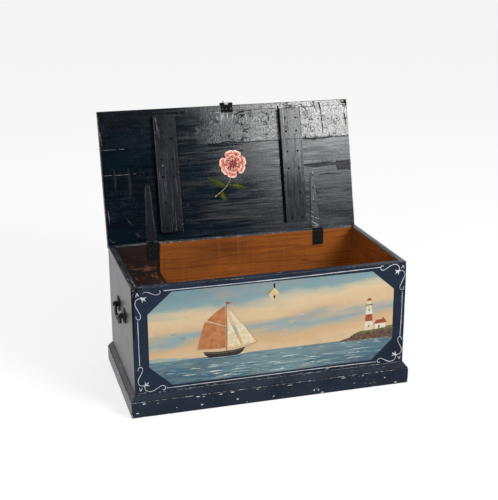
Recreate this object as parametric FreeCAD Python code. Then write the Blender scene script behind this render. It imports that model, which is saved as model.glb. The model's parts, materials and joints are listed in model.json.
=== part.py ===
"""A sailor's chest of painted pine, standing open.

Frame: millimetres, origin at the centre of the carcase's footprint on the floor,
+X to the right and +Y to the back as seen from in front, +Z up.
The lid, its battens, straps and hasp are built shut and then swung open.
"""
import FreeCAD, Part
import math
import os

from FreeCAD import Rotation, Vector

# ---------------------------------------------------------------- driving dimensions, mm
# carcase
carcase_width = 920.0
carcase_depth = 460.0
carcase_height = 432.0
wall = 22.0
bottom_thickness = 16.0
bottom_board_count = 3
board_gap = 0.6
cut_past = 1.0
# dovetails that join the front and back to the ends
tails_per_corner = 5
pin_width = 13.0
dovetail_slope = 1.0 / 6.0
# plinth nailed round the foot
plinth_height = 73.0
plinth_projection = 16.0
plinth_face_height = 54.0
plinth_quirk_width = 2.0
plinth_quirk_depth = 4.0
plinth_splay_top = 1.5
plinth_foot_chamfer = 2.5
# lid
lid_thickness = 22.0
lid_rim_gap = 0.3
lid_lean_deg = 14.3
lid_stop_gap = 0.3
front_strip_width = 20.0
side_strip_width = 16.0
front_plank_width = 115.0
middle_plank_width = 88.0
batten_width = 78.0
batten_thickness = 20.0
batten_inset = 229.0
batten_end_clearance = 3.0
batten_nail_spread = 19.5
batten_nail_inset = 17.5
middle_joint_nail_inset = 28.0
front_plank_nail_inset = 39.0
lid_edge_nail_rise = 13.6
front_edge_nail_count = 6
side_edge_nail_count = 4
edge_nail_inset = 48.0
# till floor in the left end
till_width = 155.0
till_depth_below_rim = 106.0
till_floor_thickness = 10.0
housing_depth = 5.0
till_side_thickness = 10.0
# strap hinges
hinge_inset = 154.0
hinge_offset = 3.0
hinge_iron = 3.0
hinge_play = 0.4
barrel_radius = 4.5
hinge_pin_radius = 2.2
hinge_bore_clearance = 0.05
leaf_width = 40.0
leaf_drop = 56.0
strap_length = 203.0
strap_root_width = 34.0
strap_tip_width = 15.0
knuckle_gap = 0.5
pin_head_radius = 3.6
pin_head_thickness = 1.5
pin_end_gap = 0.15
leaf_nail_rows = (0.38, 0.78)
strap_nail_rows = (0.2, 0.47, 0.72, 0.955)
# hasp
lock_x = 2.0
hasp_plate_width = 44.0
hasp_plate_depth = 26.0
hasp_plate_nail_spread = 16.0
hasp_iron = 2.5
hasp_barrel_radius = 4.5
hasp_knuckle_width = 14.0
hasp_stem_width = 12.0
hasp_length = 56.0
hasp_thumb_width = 22.0
hasp_thumb_height = 9.0
hasp_face_gap = 0.5
hasp_rest_gap = 0.3
staple_inner_radius = 39.0
staple_outer_radius = 50.0
staple_thickness = 4.0
staple_reach_deg = 39.0
staple_eye_deg = 31.0
staple_eye_radius = 3.3
slot_play = 0.7
# lock, let into the inside of the front board
lock_case_width = 92.0
lock_case_height = 90.0
lock_case_sheet = 2.0
lock_case_centre_drop = 50.0
lock_let_in = 10.0
lock_case_depth = 18.0
lock_flange = 11.0
lock_nail_spread = 30.0
bolt_nose_radius = 2.6
bolt_nose_length = 16.0
bolt_rest_gap = 3.0
bolt_bar_height = 12.0
bolt_bar_thickness = 5.0
bolt_leg_width = 12.0
bolt_end_gap = 1.0
bolt_travel = 12.0
bolt_slide_gap = 0.3
key_bit_radius = 14.0
key_pin_radius = 1.6
key_play = 1.4
talon_width = 11.0
talon_depth = 6.0
talon_lead = 6.0
guide_width = 11.0
spring_sheet = 1.0
spring_length = 24.0
spring_toe = 2.0
spring_bend = 3.0
keyhole_drop = 73.0
keyhole_radius = 3.6
keyhole_slot_width = 3.4
keyhole_slot_drop = 9.0
# lifting handles on the ends
handle_height = 290.0
handle_y = -25.0
handle_axis_offset = 13.0
handle_plate_spacing = 116.0
handle_plate_width = 40.0
handle_plate_height = 48.0
handle_plate_thickness = 4.0
handle_plate_corner = 9.0
handle_nail_spread = 16.3
lug_thickness = 10.0
lug_radius = 8.5
bail_pin_radius = 4.0
bail_pin_clearance = 0.4
bail_bar_radius = 4.5
bail_arm_gap = 2.5
bail_drop = 30.0
bail_corner = 10.0
grip_radius = 7.5
grip_bead_radius = 6.4
grip_bead_width = 4.0
# nails: head width, head height, shank width, length under the head
lath_nail = (7.0, 1.2, 3.0, 34.0)
strap_nail = (7.5, 1.4, 3.2, 18.0)
leaf_nail = (7.0, 1.2, 3.0, 16.0)
handle_nail = (8.0, 1.8, 3.6, 20.0)
lock_nail = (5.0, 0.9, 2.2, 9.0)
hasp_nail = (5.0, 0.0, 2.2, 13.0)
plinth_nail = (5.0, 0.0, 2.6, 30.0)
bottom_nail = (7.0, 0.0, 3.4, 42.0)
strip_nail = (4.0, 0.0, 2.4, 44.0)
sunk_head_depth = 1.5
nail_crown = 0.6
plinth_long_nail_count = 6
plinth_short_nail_count = 3
plinth_nail_inset = 44.0
plinth_short_nail_inset = 66.0
bottom_nail_shares = (0.3, 0.7)

# ---------------------------------------------------------------- values worked out from them
half_width = carcase_width / 2
half_depth = carcase_depth / 2
inner_half_width = half_width - wall
inner_half_depth = half_depth - wall
rim = carcase_height
lid_under = rim + lid_rim_gap
lid_top = lid_under + lid_thickness
batten_x = half_width - batten_inset
hinge_x = half_width - hinge_inset
hinge_y = half_depth + hinge_offset
lid_overhang = hinge_offset + (hinge_offset - lid_stop_gap) / math.sin(math.radians(lid_lean_deg))
lid_back = half_depth + lid_overhang
till_right = -inner_half_width + till_width
till_floor_top = rim - till_depth_below_rim
hasp_axis_offset = hasp_barrel_radius + hasp_face_gap
hasp_axis_height = hasp_barrel_radius + hasp_face_gap
hasp_y = -half_depth - hasp_axis_offset
hasp_z = lid_under + hasp_axis_height
lock_case_centre = rim - lock_case_centre_drop
pocket_bottom = -half_depth + wall - lock_let_in
staple_middle = (staple_inner_radius + staple_outer_radius) / 2
eye_y = hasp_y + staple_middle * math.sin(math.radians(staple_eye_deg))
eye_z = hasp_z - staple_middle * math.cos(math.radians(staple_eye_deg))
key_z = rim - keyhole_drop
# the hasp folds back until its stem meets the lid's top front corner
corner_rise = lid_thickness - hasp_axis_height
stem_reach = hasp_axis_offset - hasp_face_gap - hasp_iron - hasp_rest_gap
corner_angle = math.atan2(corner_rise, hasp_axis_offset)
stem_angle = math.acos(-stem_reach / math.hypot(corner_rise, hasp_axis_offset))
hasp_open_deg = 180 + math.degrees(stem_angle - corner_angle)
X, Y, Z = Vector(1, 0, 0), Vector(0, 1, 0), Vector(0, 0, 1)

parts = {}


# ---------------------------------------------------------------- shape helpers
def box(x0, x1, y0, y1, z0, z1):
    """Block between two corners."""
    return Part.makeBox(x1 - x0, y1 - y0, z1 - z0, Vector(x0, y0, z0))


def rod(radius, start, end):
    """Round bar between two points."""
    run = end - start
    return Part.makeCylinder(radius, run.Length, start, run)


def prism(points, along):
    """Flat outline pushed along a vector."""
    wire = Part.makePolygon(list(points) + [points[0]])
    return Part.Face(wire).extrude(along)


def fused(first, *others):
    """One clean solid from several that touch or overlap."""
    return first.multiFuse(list(others)).removeSplitter()


SQUARE = [(-1, -1), (1, -1), (1, 1), (-1, 1), (-1, -1)]


def nail(seat, into, size):
    """Cut nail with a square shank. A head height of 0 sinks the head flush with the surface."""
    head, head_height, shank, length = size
    under = 0.0 if head_height else -sunk_head_depth
    top = head_height if head_height else 0.0
    crown = nail_crown * head
    solid = box(-shank / 2, shank / 2, -shank / 2, shank / 2, -length, under)
    if head_height:
        lower = Part.makePolygon([Vector(x * head / 2, y * head / 2, 0) for x, y in SQUARE])
        upper = Part.makePolygon([Vector(x * crown / 2, y * crown / 2, top) for x, y in SQUARE])
        cap = Part.makeLoft([lower, upper], True, True)
    else:
        cap = box(-head / 2, head / 2, -head / 2, head / 2, under, top)
    solid = fused(solid, cap)
    solid.Placement = FreeCAD.Placement(seat, Rotation(Z, into.negative()))
    return solid


def nailed(name, nails, *through):
    """Keeps a group of nails as one node and drives them through the pieces that they hold."""
    parts[name] = Part.makeCompound(nails)
    for piece in through:
        parts[piece] = parts[piece].cut(nails)


# ---------------------------------------------------------------- carcase
def dovetail_pins(side, end):
    """Pins of an end board: side is -1 left or 1 right, end is -1 front or 1 back."""
    pitch = (carcase_height - bottom_thickness) / tails_per_corner
    outer = pin_width / 2
    inner = outer + wall * dovetail_slope
    y0 = inner_half_depth if end > 0 else -half_depth
    pins = []
    for i in range(tails_per_corner + 1):
        z = bottom_thickness + i * pitch
        section = [
            Vector(side * half_width, y0, z - outer),
            Vector(side * half_width, y0, z + outer),
            Vector(side * inner_half_width, y0, z + inner),
            Vector(side * inner_half_width, y0, z - inner),
        ]
        pins.append(prism(section, Y * wall))
    board = box(-half_width, half_width, y0, y0 + wall, bottom_thickness, rim)
    return [pin.common(board) for pin in pins]


def make_end_boards():
    for side, name in ((-1, "left_end_board"), (1, "right_end_board")):
        x0, x1 = sorted((side * inner_half_width, side * half_width))
        core = box(x0, x1, -inner_half_depth, inner_half_depth, bottom_thickness, rim)
        parts[name] = fused(core, *dovetail_pins(side, -1), *dovetail_pins(side, 1))


def make_front_and_back():
    for end, name in ((-1, "front_board"), (1, "back_board")):
        y0 = inner_half_depth if end > 0 else -half_depth
        board = box(-half_width, half_width, y0, y0 + wall, bottom_thickness, rim)
        parts[name] = board.cut(dovetail_pins(-1, end) + dovetail_pins(1, end))


def make_bottom():
    pitch = (carcase_depth + board_gap) / bottom_board_count
    for i in range(bottom_board_count):
        y0 = -half_depth + i * pitch
        name = f"bottom_board_{i + 1}"
        parts[name] = box(-half_width, half_width, y0, y0 + pitch - board_gap, 0, bottom_thickness)


def plinth_side(run_half, stand_off):
    """One mitred side of the plinth, along X with its back at y = -stand_off."""
    p = plinth_projection
    splay_foot = plinth_face_height + plinth_quirk_width
    profile = [
        (0, 0),
        (p - plinth_foot_chamfer, 0),
        (p, plinth_foot_chamfer),
        (p, plinth_face_height),
        (p - plinth_quirk_depth, plinth_face_height),
        (p - plinth_quirk_depth, splay_foot),
        (p - plinth_quirk_depth / 2, splay_foot),
        (plinth_splay_top, plinth_height),
        (0, plinth_height),
    ]
    start = -run_half - p
    section = [Vector(start, -stand_off - out, z) for out, z in profile]
    bar = prism(section, X * (2 * run_half + 2 * p))
    mitre = [
        Vector(-run_half, -stand_off, 0),
        Vector(run_half, -stand_off, 0),
        Vector(run_half + p, -stand_off - p, 0),
        Vector(-run_half - p, -stand_off - p, 0),
    ]
    return bar.common(prism(mitre, Z * plinth_height))


def make_plinth():
    long_side = plinth_side(half_width, half_depth)
    short_side = plinth_side(half_depth, half_width)
    turns = (("plinth_front", long_side, 0), ("plinth_right", short_side, 90),
             ("plinth_back", long_side, 180), ("plinth_left", short_side, 270))
    for name, side, angle in turns:
        turned = side.copy()
        turned.rotate(Vector(0, 0, 0), Z, angle)
        parts[name] = turned


def make_till():
    """Floor of the till, housed in the walls. Its side and lid are gone and leave their groove."""
    z0 = till_floor_top - till_floor_thickness
    reach_x = inner_half_width + housing_depth
    reach_y = inner_half_depth + housing_depth
    floor = box(-reach_x, till_right, -reach_y, reach_y, z0, till_floor_top)
    parts["till_floor"] = floor
    for name in ("front_board", "back_board", "left_end_board"):
        parts[name] = parts[name].cut(floor)
    groove = box(till_right - till_side_thickness, till_right, -reach_y, reach_y, till_floor_top, rim)
    for name in ("front_board", "back_board"):
        parts[name] = parts[name].cut(groove)


# ---------------------------------------------------------------- lid, built shut
def make_lid_boards():
    y = -half_depth
    parts["lid_front_strip"] = box(-half_width, half_width, y, y + front_strip_width, lid_under, lid_top)
    y += front_strip_width
    plank_half = half_width - side_strip_width
    for side, name in ((-1, "lid_left_strip"), (1, "lid_right_strip")):
        x0, x1 = sorted((side * plank_half, side * half_width))
        parts[name] = box(x0, x1, y, lid_back, lid_under, lid_top)
    ends = [y + front_plank_width, y + front_plank_width + middle_plank_width, lid_back + board_gap]
    for name, y1 in zip(("lid_plank_front", "lid_plank_middle", "lid_plank_back"), ends):
        parts[name] = box(-plank_half, plank_half, y, y1 - board_gap, lid_under, lid_top)
        y = y1


def make_battens():
    reach = inner_half_depth - batten_end_clearance
    for side, name in ((-1, "lid_batten_left"), (1, "lid_batten_right")):
        x0 = side * batten_x - batten_width / 2
        parts[name] = box(x0, x0 + batten_width, -reach, reach, lid_under - batten_thickness, lid_under)


# ---------------------------------------------------------------- strap hinges
def knuckles(centre_x, width):
    """Lengths of a hinge's three knuckles along X: left leaf, strap, right leaf."""
    third = width / 3
    left = centre_x - width / 2
    return [(left, left + third - knuckle_gap), (left + third, left + 2 * third),
            (left + 2 * third + knuckle_gap, left + width)]


def hinge_rod(radius, x0, x1):
    return rod(radius, Vector(x0, hinge_y, lid_under), Vector(x1, hinge_y, lid_under))


def make_hinge(centre_x, suffix):
    left_knuckle, strap_knuckle, right_knuckle = knuckles(centre_x, leaf_width)
    bore = hinge_rod(hinge_pin_radius + hinge_bore_clearance, left_knuckle[0] - cut_past,
                     right_knuckle[1] + cut_past)
    strap_foot = lid_under - hinge_iron
    leaf_top = strap_foot - hinge_play
    leaf_foot = leaf_top - hinge_iron
    half_leaf = leaf_width / 2
    face = inner_half_depth
    x0, x1 = centre_x - half_leaf, centre_x + half_leaf
    # room in the wood: a notch across the rim and a recess under the lid's back edge
    notch = box(x0, x1, face - cut_past, half_depth + cut_past, leaf_foot, rim + cut_past)
    half_room = half_leaf + pin_end_gap + pin_head_thickness + hinge_play
    relief = box(centre_x - half_room, centre_x + half_room, half_depth - barrel_radius,
                 half_depth + cut_past, leaf_foot, rim + cut_past)
    parts["back_board"] = parts["back_board"].cut([notch, relief])
    clear = barrel_radius + 2 * hinge_play
    recess = box(centre_x - half_room, centre_x + half_room, hinge_y - clear, lid_back + cut_past,
                 lid_under - cut_past, lid_under + clear)
    parts["lid_plank_back"] = parts["lid_plank_back"].cut(recess)
    # leaf: over the rim and down the inside of the back
    over_rim = box(x0, x1, face - hinge_iron, hinge_y, leaf_foot, leaf_top)
    down = box(x0, x1, face - hinge_iron, face, rim - leaf_drop, leaf_top)
    room = hinge_rod(barrel_radius + hinge_play,
                     strap_knuckle[0] - knuckle_gap, strap_knuckle[1] + knuckle_gap)
    leaf = fused(over_rim, down).cut(room)
    leaf = fused(leaf, hinge_rod(barrel_radius, *left_knuckle), hinge_rod(barrel_radius, *right_knuckle))
    parts["hinge_leaf_" + suffix] = leaf.cut(bore)
    # strap: tapered iron under the lid with a round tip
    tip_y = hinge_y - strap_length
    outline = [
        Vector(centre_x - strap_root_width / 2, hinge_y, strap_foot),
        Vector(centre_x + strap_root_width / 2, hinge_y, strap_foot),
        Vector(centre_x + strap_tip_width / 2, tip_y + strap_tip_width / 2, strap_foot),
        Vector(centre_x - strap_tip_width / 2, tip_y + strap_tip_width / 2, strap_foot),
    ]
    blade = prism(outline, Z * hinge_iron)
    tip_centre = Vector(centre_x, tip_y + strap_tip_width / 2, strap_foot)
    tip = Part.makeCylinder(strap_tip_width / 2, hinge_iron, tip_centre, Z)
    strap = fused(blade, tip)
    for x0, x1 in (left_knuckle, right_knuckle):
        strap = strap.cut(hinge_rod(barrel_radius + hinge_play, x0 - knuckle_gap, x1 + knuckle_gap))
    strap = fused(strap, hinge_rod(barrel_radius, *strap_knuckle))
    parts["hinge_strap_" + suffix] = strap.cut(bore)
    # pin with a riveted head at each end
    x0, x1 = left_knuckle[0] - pin_end_gap, right_knuckle[1] + pin_end_gap
    parts["hinge_pin_" + suffix] = fused(
        hinge_rod(hinge_pin_radius, x0 - pin_head_thickness, x1 + pin_head_thickness),
        hinge_rod(pin_head_radius, x0 - pin_head_thickness, x0),
        hinge_rod(pin_head_radius, x1, x1 + pin_head_thickness))


def nail_hinge(centre_x):
    """Seats of the nails through one hinge: (leaf nails, strap nails)."""
    leaf_seats = []
    leaf_face = inner_half_depth - hinge_iron
    for dx in (-leaf_width / 4, leaf_width / 4):
        for share in leaf_nail_rows:
            seat = Vector(centre_x + dx, leaf_face, rim - share * leaf_drop)
            leaf_seats.append(nail(seat, Y, leaf_nail))
    strap_seats = []
    for share in strap_nail_rows:
        seat = Vector(centre_x, hinge_y - share * strap_length, lid_under - hinge_iron)
        strap_seats.append(nail(seat, Z, strap_nail))
    return leaf_seats, strap_seats


# ---------------------------------------------------------------- hasp and lock
def hasp_rod(radius, x0, x1):
    return rod(radius, Vector(x0, hasp_y, hasp_z), Vector(x1, hasp_y, hasp_z))


def make_hasp_plate():
    """Plate let in flush under the lid's front edge, with two knuckles in front of it."""
    half = hasp_plate_width / 2
    leaf = box(lock_x - half, lock_x + half, hasp_y, -half_depth + hasp_plate_depth,
               lid_under, lid_under + hasp_iron)
    room = hasp_knuckle_width / 2 + knuckle_gap
    bore = hasp_rod(hinge_pin_radius + hinge_bore_clearance, lock_x - half - cut_past,
                    lock_x + half + cut_past)
    stem_notch = box(lock_x - room, lock_x + room, hasp_y - cut_past, -half_depth,
                     lid_under - cut_past, lid_under + hasp_iron + cut_past)
    barrel_room = hasp_rod(hasp_barrel_radius + hinge_play, lock_x - room, lock_x + room)
    ears = [hasp_rod(hasp_barrel_radius, lock_x - half, lock_x - room),
            hasp_rod(hasp_barrel_radius, lock_x + room, lock_x + half)]
    parts["hasp_plate"] = fused(leaf.cut([stem_notch, barrel_room]), *ears).cut(bore)
    let_in = box(lock_x - half, lock_x + half, -half_depth, -half_depth + hasp_plate_depth,
                 lid_under, lid_under + hasp_iron)
    for name in ("lid_front_strip", "lid_plank_front"):
        parts[name] = parts[name].cut(let_in)
    x0, x1 = lock_x - half - pin_end_gap, lock_x + half + pin_end_gap
    parts["hasp_pin"] = fused(
        hasp_rod(hinge_pin_radius, x0 - pin_head_thickness, x1 + pin_head_thickness),
        hasp_rod(pin_head_radius, x0 - pin_head_thickness, x0),
        hasp_rod(pin_head_radius, x1, x1 + pin_head_thickness))


def make_hasp():
    """Hasp as it hangs when fastened: a stem with a crescent thumb piece, and a curved staple behind."""
    back = -half_depth - hasp_face_gap
    front = back - hasp_iron
    half = hasp_stem_width / 2
    foot = hasp_z - hasp_length
    stem = box(lock_x - half, lock_x + half, front, back, foot, hasp_z)
    half_knuckle = hasp_knuckle_width / 2
    barrel = hasp_rod(hasp_barrel_radius, lock_x - half_knuckle, lock_x + half_knuckle)
    thumb_radius = hasp_thumb_width / 2
    thumb = Part.makeCylinder(thumb_radius, hasp_iron, Vector(lock_x, front, foot), Y)
    bite = Part.makeCylinder(thumb_radius, hasp_iron, Vector(lock_x, front, foot - hasp_thumb_height), Y)
    bore = hasp_rod(hinge_pin_radius + hinge_bore_clearance,
                    lock_x - half_knuckle - cut_past, lock_x + half_knuckle + cut_past)
    parts["hasp"] = fused(stem, barrel, thumb.cut(bite)).cut(bore)
    # staple: part of a ring round the hasp's own axis, so that it swings through a small slot
    ring = hasp_rod(staple_outer_radius, lock_x - staple_thickness / 2, lock_x + staple_thickness / 2)
    ring = ring.cut(hasp_rod(staple_inner_radius, lock_x - staple_thickness, lock_x + staple_thickness))
    reach = math.radians(staple_reach_deg)
    far = 3 * staple_outer_radius
    wedge = prism([
        Vector(lock_x - staple_thickness, back, hasp_z - (back - hasp_y) / math.tan(reach)),
        Vector(lock_x - staple_thickness, back, hasp_z - far),
        Vector(lock_x - staple_thickness, back + far * math.sin(reach), hasp_z - far),
        Vector(lock_x - staple_thickness, hasp_y + far * math.sin(reach), hasp_z - far * math.cos(reach)),
    ], X * (2 * staple_thickness))
    eye = rod(staple_eye_radius, Vector(lock_x - staple_thickness, eye_y, eye_z),
              Vector(lock_x + staple_thickness, eye_y, eye_z))
    parts["hasp_staple"] = ring.common(wedge).cut(eye)


def keyhole(y0, y1):
    """Keyhole cutter between two depths."""
    bore = rod(keyhole_radius, Vector(lock_x, y0, key_z), Vector(lock_x, y1, key_z))
    half = keyhole_slot_width / 2
    return fused(bore, box(lock_x - half, lock_x + half, y0, y1, key_z - keyhole_slot_drop, key_z))


def make_lock():
    half_x, half_z = lock_case_width / 2, lock_case_height / 2
    z0, z1 = lock_case_centre - half_z, lock_case_centre + half_z
    x0, x1 = lock_x - half_x, lock_x + half_x
    inner_face = -inner_half_depth
    back = pocket_bottom + lock_case_depth
    s = lock_case_sheet
    # case: a tray open towards the front board, with a flange nailed on the inside
    tray = box(x0, x1, pocket_bottom, back, z0, z1)
    flange = box(x0 - lock_flange, x1 + lock_flange, inner_face, inner_face + s, z0, z1)
    hollow = box(x0 + s, x1 - s, pocket_bottom, back - s, z0 + s, z1 - s)
    parts["lock_case"] = fused(tray, flange).cut(hollow)
    # pocket, staple slot and keyhole in the front board
    pocket = box(x0, x1, pocket_bottom, inner_face, z0, z1)
    slot_half = staple_thickness / 2 + slot_play
    skin_y = hasp_axis_offset + wall - lock_let_in
    slot_top = hasp_z - math.sqrt(staple_inner_radius ** 2 - skin_y ** 2) + slot_play
    slot_foot = hasp_z - math.sqrt(staple_outer_radius ** 2 - hasp_axis_offset ** 2) - slot_play
    outside, inside = -half_depth - cut_past, pocket_bottom + cut_past
    slot = box(lock_x - slot_half, lock_x + slot_half, outside, inside, slot_foot, slot_top)
    parts["front_board"] = parts["front_board"].cut([pocket, slot, keyhole(outside, inside)])


def make_lock_works():
    """Bolt, guide, spring and the pin that the key turns on, with the bolt drawn back to the right."""
    thick = bolt_bar_thickness / 2
    case_back = pocket_bottom + lock_case_depth - lock_case_sheet
    case_top = lock_case_centre + lock_case_height / 2 - lock_case_sheet
    case_right = lock_x + lock_case_width / 2 - lock_case_sheet
    nose_tip = lock_x + staple_thickness / 2 + bolt_rest_gap
    bar_left = nose_tip + bolt_nose_length
    right = case_right - bolt_end_gap
    top = eye_z + bolt_nose_radius
    foot = key_z + key_bit_radius - talon_depth - key_play
    tail_left = lock_x + talon_lead - talon_width
    # bolt: a round nose on a bar, and a leg down to a lower bar with the notch that the key's bit throws
    nose = rod(bolt_nose_radius, Vector(nose_tip, eye_y, eye_z), Vector(bar_left + thick, eye_y, eye_z))
    upper = box(bar_left, right, eye_y - thick, eye_y + thick, top - bolt_bar_height, top)
    leg = box(right - bolt_leg_width, right, eye_y - thick, eye_y + thick, foot, top)
    lower = box(tail_left, right, eye_y - thick, eye_y + thick, foot, foot + bolt_bar_height)
    notch_left = lock_x + talon_lead - talon_width / 2
    notch = box(notch_left, notch_left + talon_width, eye_y - 2 * thick, eye_y + 2 * thick,
                foot - cut_past, foot + talon_depth)
    parts["lock_bolt"] = fused(nose, upper, leg, lower).cut(notch)
    # guide: a block on the case's back that carries the lower bar
    guide_left = lock_x + key_bit_radius + key_play
    guide_front = eye_y - thick
    parts["lock_bolt_guide"] = box(guide_left, guide_left + guide_width, guide_front, case_back,
                                   foot - bolt_slide_gap - bolt_bar_height / 2, foot - bolt_slide_gap)
    # spring: a bent leaf under the case's top that presses on the upper bar
    toe_z = top + bolt_slide_gap
    toe_right = right - bolt_travel
    heel = toe_right - spring_length
    leaf = [
        Vector(toe_right, eye_y - thick, case_top),
        Vector(heel, eye_y - thick, case_top),
        Vector(toe_right - spring_toe, eye_y - thick, toe_z),
        Vector(toe_right, eye_y - thick, toe_z),
        Vector(heel + spring_bend, eye_y - thick, case_top - spring_sheet),
        Vector(toe_right, eye_y - thick, case_top - spring_sheet),
    ]
    parts["lock_spring"] = prism(leaf, Y * bolt_bar_thickness)
    parts["lock_key_pin"] = rod(key_pin_radius, Vector(lock_x, pocket_bottom + key_play, key_z),
                                Vector(lock_x, case_back, key_z))


# ---------------------------------------------------------------- lifting handles
def make_handle_plates(side):
    """Two plates with lugs on one end; side is -1 left or 1 right."""
    word = "left" if side < 0 else "right"
    half_w, half_h, c = handle_plate_width / 2, handle_plate_height / 2, handle_plate_corner
    for end, place in ((-1, "front"), (1, "back")):
        y = handle_y + end * handle_plate_spacing / 2
        corners = [(-half_w + c, -half_h), (half_w - c, -half_h), (half_w, -half_h + c), (half_w, half_h - c),
                   (half_w - c, half_h), (-half_w + c, half_h), (-half_w, half_h - c), (-half_w, -half_h + c)]
        outline = [Vector(side * half_width, y + dy, handle_height + dz) for dy, dz in corners]
        plate = prism(outline, X * (side * handle_plate_thickness))
        axis_x = side * (half_width + handle_axis_offset)
        y0, y1 = y - lug_thickness / 2, y + lug_thickness / 2
        lug = rod(lug_radius, Vector(axis_x, y0, handle_height), Vector(axis_x, y1, handle_height))
        x0, x1 = sorted((side * half_width, axis_x))
        neck = box(x0, x1, y0, y1, handle_height - lug_radius, handle_height + lug_radius)
        bore = rod(bail_pin_radius + bail_pin_clearance, Vector(axis_x, y0 - cut_past, handle_height),
                   Vector(axis_x, y1 + cut_past, handle_height))
        parts[f"handle_plate_{word}_{place}"] = fused(plate, lug, neck).cut(bore)


def make_bail(side):
    """Hanging bail: pins turned out into the lugs, arms, and a turned grip."""
    word = "left" if side < 0 else "right"
    x = side * (half_width + handle_axis_offset)
    pin_end = handle_plate_spacing / 2 + lug_thickness / 2 + bail_arm_gap
    arm = handle_plate_spacing / 2 - lug_thickness / 2 - bail_arm_gap - bail_bar_radius
    front, back = handle_y - arm, handle_y + arm
    z_pin, z_grip = handle_height, handle_height - bail_drop
    r = bail_corner
    turn = r * (1 - math.cos(math.pi / 4))
    start = Vector(x, front, z_pin)
    path = Part.Wire([
        Part.LineSegment(start, Vector(x, front, z_grip + r)).toShape(),
        Part.Arc(Vector(x, front, z_grip + r), Vector(x, front + turn, z_grip + turn),
                 Vector(x, front + r, z_grip)).toShape(),
        Part.LineSegment(Vector(x, front + r, z_grip), Vector(x, back - r, z_grip)).toShape(),
        Part.Arc(Vector(x, back - r, z_grip), Vector(x, back - turn, z_grip + turn),
                 Vector(x, back, z_grip + r)).toShape(),
        Part.LineSegment(Vector(x, back, z_grip + r), Vector(x, back, z_pin)).toShape(),
    ])
    section = Part.Wire([Part.makeCircle(bail_bar_radius, start, Z)])
    bar = path.makePipeShell([section], True, True)
    pieces = []
    for end in (-1, 1):
        elbow = Vector(x, handle_y + end * arm, z_pin)
        pieces.append(rod(bail_pin_radius, elbow, Vector(x, handle_y + end * pin_end, z_pin)))
        pieces.append(Part.makeSphere(bail_bar_radius, elbow))
    # grip: two cones that meet at the middle, and a bead at each end
    grip_half = arm - r
    middle = Vector(x, handle_y, z_grip)
    for direction in (Y, Y.negative()):
        pieces.append(Part.makeCone(grip_radius, bail_bar_radius, grip_half, middle, direction))
        bead = middle + direction * (grip_half - grip_bead_width)
        pieces.append(Part.makeCylinder(grip_bead_radius, grip_bead_width, bead, direction))
    parts[f"handle_bail_{word}"] = fused(bar, *pieces)


# ---------------------------------------------------------------- nails
def spread(count, half):
    """Evenly spaced places between -half and half."""
    return [-half + 2 * half * i / (count - 1) for i in range(count)]


PLANKS = ("lid_plank_front", "lid_plank_middle", "lid_plank_back")
WALLS = ("front_board", "back_board", "left_end_board", "right_end_board")


def nail_hinges():
    leaf_nails, strap_nails = [], []
    for side in (-1, 1):
        leaf, strap = nail_hinge(side * hinge_x)
        leaf_nails += leaf
        strap_nails += strap
    nailed("hinge_leaf_nails", leaf_nails, "hinge_leaf_left", "hinge_leaf_right", "back_board")
    nailed("hinge_strap_nails", strap_nails, "hinge_strap_left", "hinge_strap_right", *PLANKS)


def nail_battens():
    """Two rows down each batten, into every plank."""
    first_plank = -half_depth + front_strip_width
    middle_plank = first_plank + front_plank_width
    back_plank = middle_plank + middle_plank_width
    rows = [first_plank + front_plank_nail_inset, middle_plank - middle_joint_nail_inset,
            middle_plank + middle_plank_width / 2, back_plank + batten_nail_inset,
            (back_plank + inner_half_depth) / 2, inner_half_depth - batten_nail_inset]
    foot = lid_under - batten_thickness
    nails = [nail(Vector(side * batten_x + dx * batten_nail_spread, y, foot), Z, lath_nail)
             for side in (-1, 1) for dx in (-1, 1) for y in rows]
    nailed("batten_nails", nails, "lid_batten_left", "lid_batten_right", *PLANKS)


def nail_lid_edges():
    rise = lid_under + lid_edge_nail_rise
    nails = [nail(Vector(x, -half_depth, rise), Y, strip_nail)
             for x in spread(front_edge_nail_count, half_width - edge_nail_inset)]
    middle = lid_under + lid_thickness / 2
    for side in (-1, 1):
        for y in spread(side_edge_nail_count, half_depth - edge_nail_inset):
            nails.append(nail(Vector(side * half_width, y, middle), X * -side, strip_nail))
    nailed("lid_strip_nails", nails, "lid_front_strip", "lid_left_strip", "lid_right_strip", *PLANKS)


def nail_hasp_plate():
    seats = [Vector(lock_x + dx, -half_depth + hasp_plate_depth / 2, lid_under)
             for dx in spread(3, hasp_plate_nail_spread)]
    nailed("hasp_plate_nails", [nail(seat, Z, hasp_nail) for seat in seats], "hasp_plate", "lid_front_strip")


def nail_lock():
    flange_x = (lock_case_width + lock_flange) / 2
    y = -inner_half_depth + lock_case_sheet
    nails = [nail(Vector(lock_x + dx * flange_x, y, lock_case_centre + dz * lock_nail_spread), -Y, lock_nail)
             for dx in (-1, 1) for dz in (-1, 1)]
    nailed("lock_nails", nails, "lock_case", "front_board")


def nail_handles():
    nails = []
    plates = []
    for side, word in ((-1, "left"), (1, "right")):
        x = side * (half_width + handle_plate_thickness)
        for end, place in ((-1, "front"), (1, "back")):
            plates.append(f"handle_plate_{word}_{place}")
            y = handle_y + end * handle_plate_spacing / 2
            for dz in (-handle_nail_spread, handle_nail_spread):
                nails.append(nail(Vector(x, y, handle_height + dz), X * -side, handle_nail))
    nailed("handle_nails", nails, *plates, "left_end_board", "right_end_board")


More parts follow.
